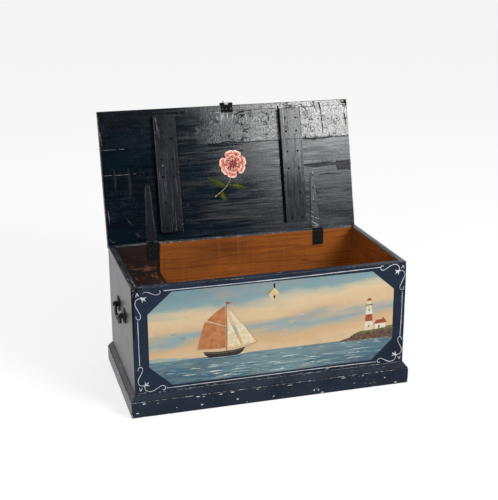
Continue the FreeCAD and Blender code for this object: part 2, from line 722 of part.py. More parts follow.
def nail_foot():
    """Nails in from the plinth's faces, and up through the bottom boards between them."""
    z = plinth_face_height / 2
    long_places = spread(plinth_long_nail_count, half_width - plinth_nail_inset)
    short_places = spread(plinth_short_nail_count, half_depth - plinth_short_nail_inset)
    faces_y, faces_x = half_depth + plinth_projection, half_width + plinth_projection
    nails = []
    for end in (-1, 1):
        nails += [nail(Vector(x, end * faces_y, z), Y * -end, plinth_nail) for x in long_places]
        nails += [nail(Vector(end * faces_x, y, z), X * -end, plinth_nail) for y in short_places]
    nailed("plinth_nails", nails, "plinth_front", "plinth_back", "plinth_left", "plinth_right", *WALLS)

    pitch = (carcase_depth + board_gap) / bottom_board_count
    mid_x, mid_y = half_width - wall / 2, half_depth - wall / 2
    end_places = [-half_depth + (i + share) * pitch
                  for i in range(bottom_board_count) for share in bottom_nail_shares]
    between = [(a + b) / 2 for a, b in zip(long_places, long_places[1:])]
    nails = [nail(Vector(side * mid_x, y, 0), Z, bottom_nail) for side in (-1, 1) for y in end_places]
    nails += [nail(Vector(x, end * mid_y, 0), Z, bottom_nail) for end in (-1, 1) for x in between]
    bottoms = [f"bottom_board_{i + 1}" for i in range(bottom_board_count)]
    nailed("bottom_nails", nails, *bottoms, *WALLS)


# ---------------------------------------------------------------- assembly
LID_NODES = ("lid_front_strip", "lid_left_strip", "lid_right_strip", "lid_plank_front", "lid_plank_middle",
             "lid_plank_back", "lid_batten_left", "lid_batten_right", "batten_nails", "lid_strip_nails",
             "hinge_strap_left", "hinge_strap_right", "hinge_strap_nails", "hasp_plate", "hasp_plate_nails",
             "hasp_pin", "hasp", "hasp_staple")
HASP_NODES = ("hasp", "hasp_staple")


def swing_open():
    """Folds the hasp back on its own pin, then swings the whole lid up and past upright."""
    for name in HASP_NODES:
        parts[name].rotate(Vector(0, hasp_y, hasp_z), X, -hasp_open_deg)
    for name in LID_NODES:
        parts[name].rotate(Vector(0, hinge_y, lid_under), X, -(90 + lid_lean_deg))


def export():
    os.makedirs("parts", exist_ok=True)
    for name, shape in sorted(parts.items()):
        if not shape.isValid():
            print("not valid:", name)
        shape.exportStep(f"parts/{name}.step")
    print(len(parts), "nodes")


make_end_boards()
make_front_and_back()
make_bottom()
make_plinth()
make_till()
make_lid_boards()
make_battens()
make_hinge(-hinge_x, "left")
make_hinge(hinge_x, "right")
make_hasp_plate()
make_hasp()
make_lock()
make_lock_works()
for end_side in (-1, 1):
    make_handle_plates(end_side)
    make_bail(end_side)
nail_hinges()
nail_battens()
nail_lid_edges()
nail_hasp_plate()
nail_lock()
nail_handles()
nail_foot()
swing_open()
export()
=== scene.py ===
import bmesh
import bpy
import json
import math
import random
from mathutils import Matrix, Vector, geometry, noise


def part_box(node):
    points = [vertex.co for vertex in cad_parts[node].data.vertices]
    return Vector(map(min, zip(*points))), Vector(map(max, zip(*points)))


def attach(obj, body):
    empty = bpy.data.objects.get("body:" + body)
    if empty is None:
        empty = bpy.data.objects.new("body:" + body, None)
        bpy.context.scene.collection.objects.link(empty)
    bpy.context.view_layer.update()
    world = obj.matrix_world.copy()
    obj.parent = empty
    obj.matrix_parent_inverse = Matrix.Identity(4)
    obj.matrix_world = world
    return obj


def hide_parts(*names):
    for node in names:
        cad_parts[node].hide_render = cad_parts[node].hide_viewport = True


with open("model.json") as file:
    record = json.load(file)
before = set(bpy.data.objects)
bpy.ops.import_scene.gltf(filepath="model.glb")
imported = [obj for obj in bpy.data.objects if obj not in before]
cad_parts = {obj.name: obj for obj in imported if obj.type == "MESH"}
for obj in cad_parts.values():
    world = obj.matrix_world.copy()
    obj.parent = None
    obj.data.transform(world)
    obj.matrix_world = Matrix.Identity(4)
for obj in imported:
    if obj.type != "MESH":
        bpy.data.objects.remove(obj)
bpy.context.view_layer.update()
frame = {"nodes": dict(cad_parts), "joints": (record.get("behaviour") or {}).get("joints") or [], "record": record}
MM = 0.001

# ---------------------------------------------------------------- camera
# A long lens, a little above the open lid and to the left of the chest, so that the front, the left end,
# the lid's underside and the hold all show.
camera_data = bpy.data.cameras.new("camera")
camera_data.sensor_fit = "VERTICAL"
camera_data.sensor_height = 36.0
camera_data.lens = 73.24
camera = bpy.data.objects.new("camera", camera_data)
camera.location = (-0.9209, -3.1491, 1.4918)
camera.rotation_euler = [math.radians(angle) for angle in (72.296, 0.247, -16.110)]
bpy.context.scene.collection.objects.link(camera)
bpy.context.scene.camera = camera


# ---------------------------------------------------------------- bottom boards
# Three pine boards nailed up under the walls. They are sawn and planed but never painted, so the grain shows:
# inside they have gone the orange brown of old shellac and handling, and below they are dusty.
def linear(colour):
    """The linear colour of an sRGB hex value."""
    shares = [int(colour[i:i + 2], 16) / 255 for i in (1, 3, 5)]
    return [s / 12.92 if s <= 0.04045 else ((s + 0.055) / 1.055) ** 2.4 for s in shares] + [1.0]


def across(mm):
    """Scale of a pattern whose features are that many millimetres across."""
    return 1.0 / (mm * MM)


def adder(tree):
    """Empties a node tree and gives the function that adds a shader node to it."""
    tree.nodes.clear()

    def add(kind, inputs=(), **settings):
        """Inputs go by name, or in their order. Each takes a value, or a node or socket to link."""
        node = tree.nodes.new("ShaderNode" + kind)
        for key, value in settings.items():
            setattr(node, key, value)
        for key, value in inputs.items() if isinstance(inputs, dict) else enumerate(inputs):
            socket = node.inputs[key] if isinstance(key, int) else \
                next(s for s in node.inputs if s.enabled and s.name == key)
            if isinstance(value, bpy.types.Node):
                value = next(s for s in value.outputs if s.enabled)
            if isinstance(value, bpy.types.NodeSocket):
                tree.links.new(value, socket)
            else:
                socket.default_value = value
        return node

    return add


def new_material(name):
    """A material without nodes, and the function that adds them."""
    material = bpy.data.materials.new(name)
    material.use_nodes = True
    return material, adder(material.node_tree)


def squeezed(grain, stretch):
    """Scale that draws a pattern out along the grain."""
    return [1.0 / stretch if axis == grain else 1.0 for axis in "xyz"]


till_low, till_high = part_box("till_floor")


def bare_pine(name, grain, light, dark, old_till):
    """Old unpainted pine: soft early wood between thin late wood lines, fine fibres, and kerf marks."""
    material, add = new_material(name)
    place = add("TexCoord").outputs["Object"]
    rings = add("TexNoise", {"Vector": add("Mapping", {"Vector": place, "Scale": squeezed(grain, 20)}),
                             "Scale": across(34), "Detail": 2.0, "Distortion": 0.5})
    lines = add("Math", (add("Math", (rings, 34.0), operation="MULTIPLY"),), operation="SINE")
    late = add("MapRange", {"Value": lines, "From Min": 0.1, "From Max": 1.0},
               interpolation_type="SMOOTHSTEP")
    fibres = add("TexNoise", {"Vector": add("Mapping", {"Vector": place, "Scale": squeezed(grain, 14)}),
                              "Scale": across(2.6), "Detail": 4.0, "Roughness": 0.65})
    stains = add("TexNoise", {"Vector": add("Mapping", {"Vector": place, "Scale": squeezed(grain, 2.5)}),
                              "Scale": across(130), "Detail": 5.0, "Roughness": 0.6})
    # kerf marks of a frame saw stand across the grain; drawn twice as coarse as real ones, so that they show
    kerf = add("TexNoise", {"Vector": add("Mapping", {"Vector": place, "Scale": (1.0, 0.2, 0.05)}),
                            "Scale": across(9), "Detail": 2.0})
    colour = add("Mix", {"Factor": add("Math", (late, 0.42), operation="MULTIPLY"), "A": linear(light),
                         "B": linear(dark)}, data_type="RGBA")
    worn = add("MapRange", {"Value": fibres, "From Min": 0.42, "From Max": 0.72, "To Max": 0.5})
    colour = add("Mix", {"Factor": worn, "A": colour, "B": linear(dark)}, data_type="RGBA")
    mottle = add("MapRange", {"Value": stains, "From Min": 0.44, "From Max": 0.72, "To Max": 0.65})
    colour = add("Mix", {"Factor": mottle, "A": colour, "B": linear("#4e240c")}, data_type="RGBA")
    scraped = add("MapRange", {"Value": kerf, "From Min": 0.52, "From Max": 0.75, "To Max": 0.3})
    colour = add("Mix", {"Factor": scraped, "A": colour, "B": linear("#9a5e2c")}, data_type="RGBA")
    if old_till:
        # the till's side and lid kept this part dark with dirt and stain, up from its floor
        parts = add("SeparateXYZ", {"Vector": place})
        ragged = add("Math", (stains, 0.03, -0.015), operation="MULTIPLY_ADD")
        left = add("Math", (parts.outputs["X"], ragged), operation="ADD")
        above = add("Math", (parts.outputs["Z"], ragged), operation="ADD")
        in_left = add("MapRange", {"Value": left, "From Min": till_high.x + 0.004,
                                   "From Max": till_high.x - 0.004}, interpolation_type="SMOOTHSTEP")
        in_above = add("MapRange", {"Value": above, "From Min": till_low.z - 0.006,
                                    "From Max": till_low.z + 0.004}, interpolation_type="SMOOTHSTEP")
        scuffs = add("TexNoise", {"Vector": add("Mapping", {"Vector": place,
                                                            "Scale": squeezed(grain, 5)}),
                                  "Scale": across(14), "Detail": 5.0, "Roughness": 0.6})
        scuffs = add("MapRange", {"Value": scuffs, "From Min": 0.5, "From Max": 0.68, "To Max": 0.95},
                     interpolation_type="SMOOTHSTEP")
        low_down = add("MapRange", {"Value": above, "From Min": till_high.z + 0.07,
                                    "From Max": till_high.z + 0.015}, interpolation_type="SMOOTHSTEP")
        rubbed = add("Math", (scuffs, low_down), operation="MULTIPLY")
        grime = add("Mix", {"Factor": mottle, "A": linear("#211510"), "B": linear("#120c09")},
                    data_type="RGBA")
        grime = add("Mix", {"Factor": rubbed, "A": grime, "B": linear("#7d5240")}, data_type="RGBA")
        ghost = add("Math", (in_left, in_above), operation="MULTIPLY")
        colour = add("Mix", {"Factor": ghost, "A": colour, "B": grime}, data_type="RGBA")
    relief = add("Math", (late, 0.5, fibres), operation="MULTIPLY_ADD")
    bump = add("Bump", {"Height": relief, "Strength": 0.5, "Distance": 0.5 * MM})
    shader = add("BsdfPrincipled", {"Base Color": colour, "Roughness": 0.5, "Specular IOR Level": 0.3,
                                    "Normal": bump})
    add("OutputMaterial", {"Surface": shader})
    return material


# shellac left the walls a deep orange with a soft sheen; on the floor it is rubbed off and browner
pine_along = bare_pine("shellacked pine, boards lengthwise", "x", "#a0581a", "#582a0c", True)
pine_deep = bare_pine("shellacked pine, end boards", "y", "#9c521a", "#54270b", True)
floor_pine = bare_pine("rubbed pine, bottom boards", "x", "#70401f", "#46250f", False)
board_arris = 0.8


def bench_copy(node, arris):
    """A copy of a board's solid with every sharp edge taken off by a plane, arris millimetres wide."""
    source = frame["nodes"][node].data
    mesh = bpy.data.meshes.new(node)
    mesh.from_pydata([v.co for v in source.vertices], [], [list(p.vertices) for p in source.polygons])
    shape = bmesh.new()
    shape.from_mesh(mesh)
    bmesh.ops.remove_doubles(shape, verts=shape.verts, dist=0.01 * MM)
    bmesh.ops.dissolve_limit(shape, angle_limit=math.radians(1), verts=shape.verts, edges=shape.edges)
    sharp = [e for e in shape.edges if len(e.link_faces) == 2 and e.calc_face_angle(0) > math.radians(30)]
    bmesh.ops.bevel(shape, geom=sharp, offset=arris * MM, offset_type="OFFSET", segments=1, profile=0.5,
                    affect="EDGES", clamp_overlap=True)
    shape.to_mesh(mesh)
    shape.free()
    piece = bpy.data.objects.new(node + "_worn", mesh)
    bpy.context.scene.collection.objects.link(piece)
    return piece


def place_piece(piece, body, slot, *nodes):
    """Hangs a finished piece on its body in the place of the nodes."""
    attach(piece, body)
    if nodes:
        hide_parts(*nodes)


for number in (1, 2, 3):
    name = f"bottom_board_{number}"
    board = bench_copy(name, board_arris)
    board.data.materials.append(floor_pine)
    place_piece(board, "chest", "bare_pine", name)

# ---------------------------------------------------------------- end boards, front and back
# Pine boards dovetailed at the corners, brushed dark blue outside and on the rim and varnished, and left bare
# inside. Knees, ropes and stowing have rounded their arrises and rubbed them back to the wood.
wall_arris = 0.25
RIGHT, BACK, UP = Vector((1, 0, 0)), Vector((0, 1, 0)), Vector((0, 0, 1))
carcase_low, carcase_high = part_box("front_board")
carcase_high = Vector((carcase_high.x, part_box("back_board")[1].y, carcase_high.z))
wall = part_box("front_board")[1].y - carcase_low.y
skin = 0.1 * wall  # a face that lies less deep than this counts as the board's outside
plinth_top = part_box("plinth_front")[1].z


def painted_pine(name, grain, paint, deep, worn, chipping, gloss, shine):
    """Oil paint over pine: brush strokes along the grain, tone that drifts, and chips down to the wood, more
    of them close to the corners of the carcase, at the rim and above the plinth. Chipping shifts how much."""
    material, add = new_material(name)
    place = add("TexCoord").outputs["Object"]
    brushed = add("TexNoise", {"Vector": add("Mapping", {"Vector": place, "Scale": squeezed(grain, 22)}),
                               "Scale": across(3.2), "Detail": 5.0, "Roughness": 0.62})
    boards = add("TexNoise", {"Vector": add("Mapping", {"Vector": place, "Scale": squeezed(grain, 9)}),
                              "Scale": across(26), "Detail": 3.0, "Distortion": 0.4})
    drift = add("TexNoise", {"Vector": place, "Scale": across(150), "Detail": 5.0, "Roughness": 0.6})
    flakes = add("TexNoise", {"Vector": add("Mapping", {"Vector": place, "Scale": squeezed(grain, 2.4)}),
                              "Scale": across(4.5), "Detail": 6.0, "Roughness": 0.7})
    where = add("TexNoise", {"Vector": place, "Scale": across(60), "Detail": 3.0})
    flaky = add("Math", (where, 0.45, flakes), operation="MULTIPLY_ADD")
    parts = add("SeparateXYZ", {"Vector": add("VectorMath", (place,), operation="ABSOLUTE")})
    at_side = add("MapRange", {"Value": parts.outputs["X"], "From Min": carcase_high.x - 14 * MM,
                               "From Max": carcase_high.x, "To Max": 0.09})
    at_foot = add("MapRange", {"Value": parts.outputs["Z"], "From Min": plinth_top + 20 * MM,
                               "From Max": plinth_top, "To Max": 0.17})
    at_rim = add("MapRange", {"Value": parts.outputs["Z"], "From Min": carcase_high.z - 16 * MM,
                              "From Max": carcase_high.z, "To Max": 0.08})
    rubbed = add("Math", (add("Math", (at_side, at_foot), operation="MAXIMUM"), at_rim), operation="ADD")
    flaky = add("Math", (flaky, rubbed), operation="ADD")
    chipped = add("MapRange", {"Value": flaky, "From Min": 1.06 - chipping, "From Max": 1.09 - chipping},
                  interpolation_type="SMOOTHSTEP")
    thin = add("MapRange", {"Value": flaky, "From Min": 0.97 - chipping, "From Max": 1.06 - chipping,
                            "To Max": 0.6}, interpolation_type="SMOOTHSTEP")
    tone = add("MapRange", {"Value": drift, "From Min": 0.35, "From Max": 0.68},
               interpolation_type="SMOOTHSTEP")
    colour = add("Mix", {"Factor": tone, "A": linear(paint), "B": linear(deep)}, data_type="RGBA")
    dusty = add("MapRange", {"Value": brushed, "From Min": 0.5, "From Max": 0.8, "To Max": 0.10})
    colour = add("Mix", {"Factor": dusty, "A": colour, "B": linear("#5a6070")}, data_type="RGBA")
    colour = add("Mix", {"Factor": thin, "A": colour, "B": linear("#3a302c")}, data_type="RGBA")
    colour = add("Mix", {"Factor": chipped, "A": colour, "B": linear(worn)}, data_type="RGBA")
    height = add("Math", (brushed, 0.3, boards), operation="MULTIPLY_ADD")
    height = add("Math", (chipped, -0.5, height), operation="MULTIPLY_ADD")
    bump = add("Bump", {"Height": height, "Strength": 0.5, "Distance": 0.5 * MM})
    rough = add("MapRange", {"Value": brushed, "From Min": 0.3, "From Max": 0.7, "To Min": gloss,
                             "To Max": gloss + 0.16})
    rubbed_dull = add("MapRange", {"Value": add("Math", (where, drift), operation="ADD"), "From Min": 0.9,
                                   "From Max": 1.25, "To Min": shine, "To Max": 0.7 * shine})
    shader = add("BsdfPrincipled", {"Base Color": colour, "Roughness": rough, "Normal": bump,
                                    "Specular IOR Level": rubbed_dull})
    add("OutputMaterial", {"Surface": shader})
    return material


bare_wood = "#98877a"
# the varnish has gone flat on the front and still shines on the ends; rubbed arrises show grey wood in spots
front_paint = painted_pine("varnished navy paint, front", "x", "#1e293b", "#151f2c", bare_wood, 0.02, 0.34,
                           0.12)
end_paint = painted_pine("varnished navy paint, ends", "z", "#26252c", "#0d0f15", bare_wood, 0.05, 0.24, 0.4)
rubbed_paint = painted_pine("navy paint rubbed through", "x", "#232935", "#151a24", "#70645d", 0.17, 0.4,
                            0.25)
# the back rim's paler grey is partly wear and partly a painted highlight, for the light it mirrors under the lid
rim_paint_and_highlight = painted_pine("navy paint worn grey and painted light, back rim", "x", "#46505c", "#2b333e", "#9a968f", 0.2, 0.35,
                         0.4)


def worn_arris(start, end, face_a, face_b, radius, seed, hollow=0.0, notch=None):
    """Cutter for what wear took off one arris: start and end in metres, the two faces' outward directions,
    and millimetres for the radius and for how far dents go deeper. A notch is a broken place: its share of
    the way, width and depth."""
    run = end - start
    length = run.length
    way = run.normalized()
    # a ring every 7 mm; the wear drifts over 42 mm, with nicks 11 mm long and a ragged skin of 6 mm
    count = max(4, int(length / (7 * MM)))
    proud = 1.2 * MM
    steps = 5
    rings = []
    for i in range(count + 1):
        share = i / count
        place = start - way * proud + way * (length + 2 * proud) * share
        slow = noise.noise(place * across(42) + Vector((seed, 0, 0)))
        fast = noise.noise(place * across(11) + Vector((0, seed, 0)))
        r = radius * (1.0 + 0.35 * slow + 0.3 * fast) + hollow * max(0.0, slow + 0.4 * fast - 0.22)
        if notch:
            off = (share - notch[0]) * length / (notch[1] * MM)
            r += notch[2] * math.exp(-off * off)
        r = max(r, 0.3 * radius) * MM
        ring = [place + face_a * proud - face_b * r]
        for k in range(steps + 1):
            turn = math.pi / 2 * k / steps
            ragged = 1.0 - 0.10 * abs(noise.noise(place * across(6) + Vector((0, 0, seed + 3 * k))))
            centre = place - (face_a + face_b) * r
            ring.append(centre + (face_a * math.cos(turn) + face_b * math.sin(turn)) * (r * ragged))
        ring.append(place - face_a * r + face_b * proud)
        ring.append(place + (face_a + face_b) * proud)
        rings.append(ring)
    size = len(rings[0])
    points = [p for ring in rings for p in ring]
    faces = [[i * size + k, i * size + (k + 1) % size, (i + 1) * size + (k + 1) % size, (i + 1) * size + k]
             for i in range(count) for k in range(size)]
    faces += [list(range(size)), [count * size + k for k in range(size)]]
    return closed_form("cutter", points, faces)


def closed_form(name, points, faces):
    """An object of closed forms, with their faces turned outwards."""
    mesh = bpy.data.meshes.new(name)
    mesh.from_pydata(points, [], faces)
    shape = bmesh.new()
    shape.from_mesh(mesh)
    bmesh.ops.recalc_face_normals(shape, faces=shape.faces)
    shape.to_mesh(mesh)
    shape.free()
    piece = bpy.data.objects.new(name, mesh)
    bpy.context.scene.collection.objects.link(piece)
    return piece


def wear(piece, cutters):
    """Takes the cutters off a piece. The worn faces come out smooth."""
    for cutter in cutters:
        for face in cutter.data.polygons:
            face.use_smooth = True
        cut = piece.modifiers.new("wear", "BOOLEAN")
        cut.object = cutter
        cut.solver = "EXACT"
        cut.operation = "DIFFERENCE"
        evaluated = piece.evaluated_get(bpy.context.evaluated_depsgraph_get())
        worn = bpy.data.meshes.new_from_object(evaluated)
        piece.modifiers.clear()
        piece.data = worn
        bpy.data.objects.remove(cutter)


def give_finishes(piece, finishes, choose):
    """Each face takes the finish that choose(centre, outward, worn) picks by its place in the list."""
    piece.data.materials.clear()
    for finish in finishes:
        piece.data.materials.append(finish)
    for face in piece.data.polygons:
        face.material_index = choose(face.center, face.normal, face.use_smooth)


def corner(right, back, up):
    """A corner of the carcase; each of the three is -1 or 1."""
    return Vector((carcase_high.x if right > 0 else carcase_low.x,
                   carcase_high.y if back > 0 else carcase_low.y,
                   carcase_high.z if up > 0 else carcase_low.z))


front = bench_copy("front_board", wall_arris)
inner = BACK * wall
wear(front, [
    worn_arris(corner(-1, -1, 1), corner(1, -1, 1), -BACK, UP, 1.9, 3.1, 2.2, (0.006, 9, 5.5)),
    worn_arris(corner(-1, -1, 1) + inner, corner(1, -1, 1) + inner, BACK, UP, 1.3, 8.4, 1.6),
    worn_arris(corner(-1, -1, -1), corner(-1, -1, 1), -BACK, -RIGHT, 1.7, 5.2, 1.8, (0.99, 14, 4.0)),
    worn_arris(corner(1, -1, -1), corner(1, -1, 1), -BACK, RIGHT, 1.8, 9.7, 1.8, (0.985, 11, 4.5)),
])
on_end = carcase_high.x - skin
give_finishes(front, [front_paint, pine_along, rubbed_paint, end_paint],
              lambda c, n, worn: 2 if worn else 3 if abs(c.x) > on_end and abs(n.x) > 0.5
              else 1 if n.y > 0.5 or c.y > carcase_low.y + skin and n.z < 0.5 and abs(n.x) < 0.5 else 0)
place_piece(front, "chest", "painted_pine", "front_board")

back = bench_copy("back_board", wall_arris)
wear(back, [
    worn_arris(corner(-1, 1, 1), corner(1, 1, 1), BACK, UP, 1.2, 2.3, 1.0),
    worn_arris(corner(-1, 1, 1) - inner, corner(1, 1, 1) - inner, -BACK, UP, 1.5, 4.1, 1.6),
    worn_arris(corner(-1, 1, -1), corner(-1, 1, 1), BACK, -RIGHT, 1.6, 1.9, 1.4),
    worn_arris(corner(1, 1, -1), corner(1, 1, 1), BACK, RIGHT, 1.6, 6.6, 1.4),
])
give_finishes(back, [front_paint, pine_along, rubbed_paint, rim_paint_and_highlight, end_paint],
              lambda c, n, worn: 3 if n.z > 0.3 else 2 if worn else 4 if abs(c.x) > on_end and abs(n.x) > 0.5
              else 1 if n.y < -0.5 or c.y < carcase_high.y - skin and n.z < 0.5 and abs(n.x) < 0.5 else 0)
place_piece(back, "chest", "painted_pine", "back_board")

for side, name in ((-1, "left_end_board"), (1, "right_end_board")):
    board = bench_copy(name, wall_arris)
    outward = RIGHT * side
    inside = -outward * wall
    wear(board, [
        worn_arris(corner(side, -1, 1), corner(side, 1, 1), outward, UP, 1.7, 12.4 + side, 2.0),
        worn_arris(corner(side, -1, 1) + inside, corner(side, 1, 1) + inside, -outward, UP, 1.2, 7.7 + side,
                   1.5),
        worn_arris(corner(side, -1, -1), corner(side, -1, 1), outward, -BACK, 1.7, 5.2, 1.8, (0.99, 14, 4.0)),
        worn_arris(corner(side, 1, -1), corner(side, 1, 1), outward, BACK, 1.6, 1.9, 1.4),
    ])
    give_finishes(board, [end_paint, pine_deep, rubbed_paint, front_paint],
                  lambda c, n, worn: 2 if worn else 3 if abs(c.y) > carcase_high.y - skin and abs(n.y) > 0.5
                  else 1 if n.x * side < -0.5 or abs(c.x) < on_end and n.z < 0.5 and abs(n.y) < 0.5 else 0)
    place_piece(board, "chest", "painted_pine", name)

# ---------------------------------------------------------------- painted panel
# An octagon laid in over the blue in artist's oils, with a seaside picture: soft bands of sky over a choppy
# sea. The paint has body, so it stands a little proud of the board. Marks of paint are given in millimetres.
panel_left, panel_right, panel_foot, panel_head = -411, 417, 94, 409.5
upper_cut, lower_cut = (78, 68), (73, 69)
horizon = 176
openings = {room["name"]: room["box_m"] for room in frame["record"]["physics"]["openings"]}
slot_room, key_room = openings["hasp_slot"], openings["keyhole"]
key_x, key_z = [(key_room[0][i] + key_room[1][i]) / 2 / MM for i in (0, 2)]
slot_half, key_radius = 2.7, 3.6
key_foot_half, key_foot_drop = 1.7, 9


def smooth_line(points, closed=False, steps=6):
    """Points of a smooth line through the given ones."""
    count = len(points)
    line = []
    for i in range(count if closed else count - 1):
        before, here, there, after = [
            Vector(points[(i + k) % count if closed else max(0, min(count - 1, i + k))])
            for k in (-1, 0, 1, 2)]
        line += geometry.interpolate_bezier(here, here + (there - before) / 6, there - (after - here) / 6,
                                            there, steps)[:-1]
    return line if closed else line + [Vector(points[-1])]


def dab(outline, top=0.3, foot=-0.1):
    """A flat patch of paint: corners and faces of a thin closed form with that outline, in mm."""
    count = len(outline)
    points = [(*p, foot) for p in outline] + [(*p, top) for p in outline]
    faces = [(k, (k + 1) % count, count + (k + 1) % count, count + k) for k in range(count)]
    return points, faces + [tuple(range(count)), tuple(range(count, 2 * count))]


def pull(points, widths, top=0.3, foot=0.02):
    """One pull of a lining brush along the points: a ridge of paint as wide as the widths say, in mm."""
    line = smooth_line(points)
    last = len(line) - 1
    corners = []
    for i, here in enumerate(line):
        share = i / last * (len(widths) - 1)
        k = min(int(share), len(widths) - 2)
        half = (widths[k] + (widths[k + 1] - widths[k]) * (share - k)) / 2
        way = (line[min(i + 1, last)] - line[max(i - 1, 0)]).normalized()
        side = Vector((-way.y, way.x)) * half
        corners += [(*(here + side), foot), (*here, top), (*(here - side), foot), (*here, foot - 0.15)]
    faces = [(4 * i + k, 4 * i + (k + 1) % 4, 4 * i + 4 + (k + 1) % 4, 4 * i + 4 + k)
             for i in range(last) for k in range(4)]
    return corners, faces + [(3, 2, 1, 0), tuple(4 * last + k for k in range(4))]


def strokes(finish, top, *rows):
    """Marks of one finish, each pulled along its points with its widths."""
    return [(finish, pull(points, widths, top)) for points, widths in rows]


def joined(forms):
    """The points and the faces of several closed forms, each as one list."""
    points, faces = [], []
    for corners, sides in forms:
        faces += [[len(points) + k for k in side] for side in sides]
        points += corners
    return points, faces


def lay_paint(name, body, surface, marks, finishes, slot="painted_pine"):
    """Makes one piece of marks laid on a surface. A mark is its finish, and a dab's or a pull's form."""
    points, faces = joined([form for _, form in marks])
    paint = closed_form(name, [surface(*p) for p in points], faces)
    for finish in finishes.values():
        paint.data.materials.append(finish)
    order = list(finishes)
    picks = [order.index(finish) for finish, form in marks for _ in form[1]]
    for face, pick in zip(paint.data.polygons, picks):
        face.material_index = pick
    place_piece(paint, body, slot)
    return paint


def on_front(x, z, proud):
    """A place on the front, in metres."""
    return Vector((x * MM, carcase_low.y - proud * MM, z * MM))


def picture_paint(name):
    """Artist's oils blended wet, with a low sheen and fine bristle lines: sea below the horizon, cream cloud
    above it, and blue through and over that."""
    material, add = new_material(name)
    place = add("TexCoord").outputs["Object"]
    parts = add("SeparateXYZ", {"Vector": place})
    x, z = parts.outputs["X"], parts.outputs["Z"]
    drawn = add("Mapping", {"Vector": place, "Scale": (0.22, 1.0, 1.0)})
    banks = add("TexNoise", {"Vector": drawn, "Scale": across(75), "Detail": 5.0, "Roughness": 0.55,
                             "Distortion": 0.6})
    bristle = add("TexNoise", {"Vector": add("Mapping", {"Vector": place, "Scale": (0.09, 1.0, 1.0)}),
                               "Scale": across(5), "Detail": 4.0, "Roughness": 0.6})
    # height in the sky in metres, tilted and bent by the cloud banks
    tilt = add("Math", (x, -0.055, z), operation="MULTIPLY_ADD")
    bent = add("Math", (banks, 0.11, tilt), operation="MULTIPLY_ADD")
    bent = add("Math", (bristle, 0.012, bent), operation="MULTIPLY_ADD")
    sky_share = add("MapRange", {"Value": bent, "From Min": 0.23, "From Max": 0.47})
    sky = add("ValToRGB", {"Fac": sky_share})
    stops = [(0.0, "#d3b995"), (0.12, "#d5b68e"), (0.26, "#ccab84"), (0.33, "#aaa997"), (0.39, "#8ba1a5"),
             (0.45, "#aaa998"), (0.52, "#d3b790"), (0.68, "#d8bf9a"), (0.77, "#b5b3a0"), (0.84, "#829da1"),
             (1.0, "#728f98")]
    ramp = sky.color_ramp
    ramp.elements.remove(ramp.elements[1])
    for k, (spot, tone) in enumerate(stops):
        stop = ramp.elements[0] if k == 0 else ramp.elements.new(spot)
        stop.color = linear(tone)
    blush = add("MapRange", {"Value": add("TexNoise", {"Vector": drawn, "Scale": across(48),
                                                       "Detail": 3.0}), "From Min": 0.5, "From Max": 0.75,
                             "To Max": 0.3})
    sky = add("Mix", {"Factor": blush, "A": sky, "B": linear("#cf9c7e")}, data_type="RGBA")
    swell = add("TexNoise", {"Vector": add("Mapping", {"Vector": place, "Scale": (0.14, 1.0, 1.0)}),
                             "Scale": across(13), "Detail": 4.0, "Roughness": 0.6, "Distortion": 0.5})
    depth = add("MapRange", {"Value": z, "From Min": panel_foot * MM, "From Max": horizon * MM})
    sea = add("Mix", {"Factor": depth, "A": linear("#3c5c6e"), "B": linear("#5a7783")}, data_type="RGBA")
    # a pale path of light down the middle of the water
    off_path = add("Math", (add("Math", (x, 0.03), operation="SUBTRACT"),), operation="ABSOLUTE")
    path = add("MapRange", {"Value": off_path, "From Min": 0.25, "From Max": 0.03, "To Max": 0.42})
    sea = add("Mix", {"Factor": path, "A": sea, "B": linear("#8fa7a1")}, data_type="RGBA")
    crest = add("MapRange", {"Value": swell, "From Min": 0.5, "From Max": 0.66, "To Max": 0.75})
    sea = add("Mix", {"Factor": crest, "A": sea, "B": linear("#7d9799")}, data_type="RGBA")
    trough = add("MapRange", {"Value": swell, "From Min": 0.44, "From Max": 0.3, "To Max": 0.7})
    sea = add("Mix", {"Factor": trough, "A": sea, "B": linear("#334f61")}, data_type="RGBA")
    above = add("MapRange", {"Value": z, "From Min": (horizon - 0.6) * MM,
                             "From Max": (horizon + 0.6) * MM})
    colour = add("Mix", {"Factor": above, "A": sea, "B": sky}, data_type="RGBA")
    # old varnish and hands have browned it a little in patches
    age = add("TexNoise", {"Vector": place, "Scale": across(60), "Detail": 5.0, "Roughness": 0.65})
    age = add("MapRange", {"Value": age, "From Min": 0.5, "From Max": 0.8, "To Max": 0.3})
    colour = add("Mix", {"Factor": age, "A": colour, "B": linear("#a98d68")}, data_type="RGBA")
    bump = add("Bump", {"Height": bristle, "Strength": 0.5, "Distance": 0.3 * MM})
    shader = add("BsdfPrincipled", {"Base Color": colour, "Roughness": 0.42, "Specular IOR Level": 0.25,
                                    "Normal": bump})
    add("OutputMaterial", {"Surface": shader})
    return material


def oil_colour(name, tone, shade, size=18, shine=0.2):
    """A mixed oil colour: it shades into a second one over that many millimetres, with bristle lines."""
    material, add = new_material(name)
    place = add("TexCoord").outputs["Object"]
    drift = add("TexNoise", {"Vector": place, "Scale": across(size), "Detail": 4.0, "Roughness": 0.6})
    share = add("MapRange", {"Value": drift, "From Min": 0.38, "From Max": 0.62})
    colour = add("Mix", {"Factor": share, "A": linear(tone), "B": linear(shade)}, data_type="RGBA")
    bristle = add("TexNoise", {"Vector": place, "Scale": across(1.4), "Detail": 3.0})
    bump = add("Bump", {"Height": bristle, "Strength": 0.4, "Distance": 0.2 * MM})
    shader = add("BsdfPrincipled", {"Base Color": colour, "Roughness": 0.4, "Specular IOR Level": shine,
                                    "Normal": bump})
    add("OutputMaterial", {"Surface": shader})
    return material


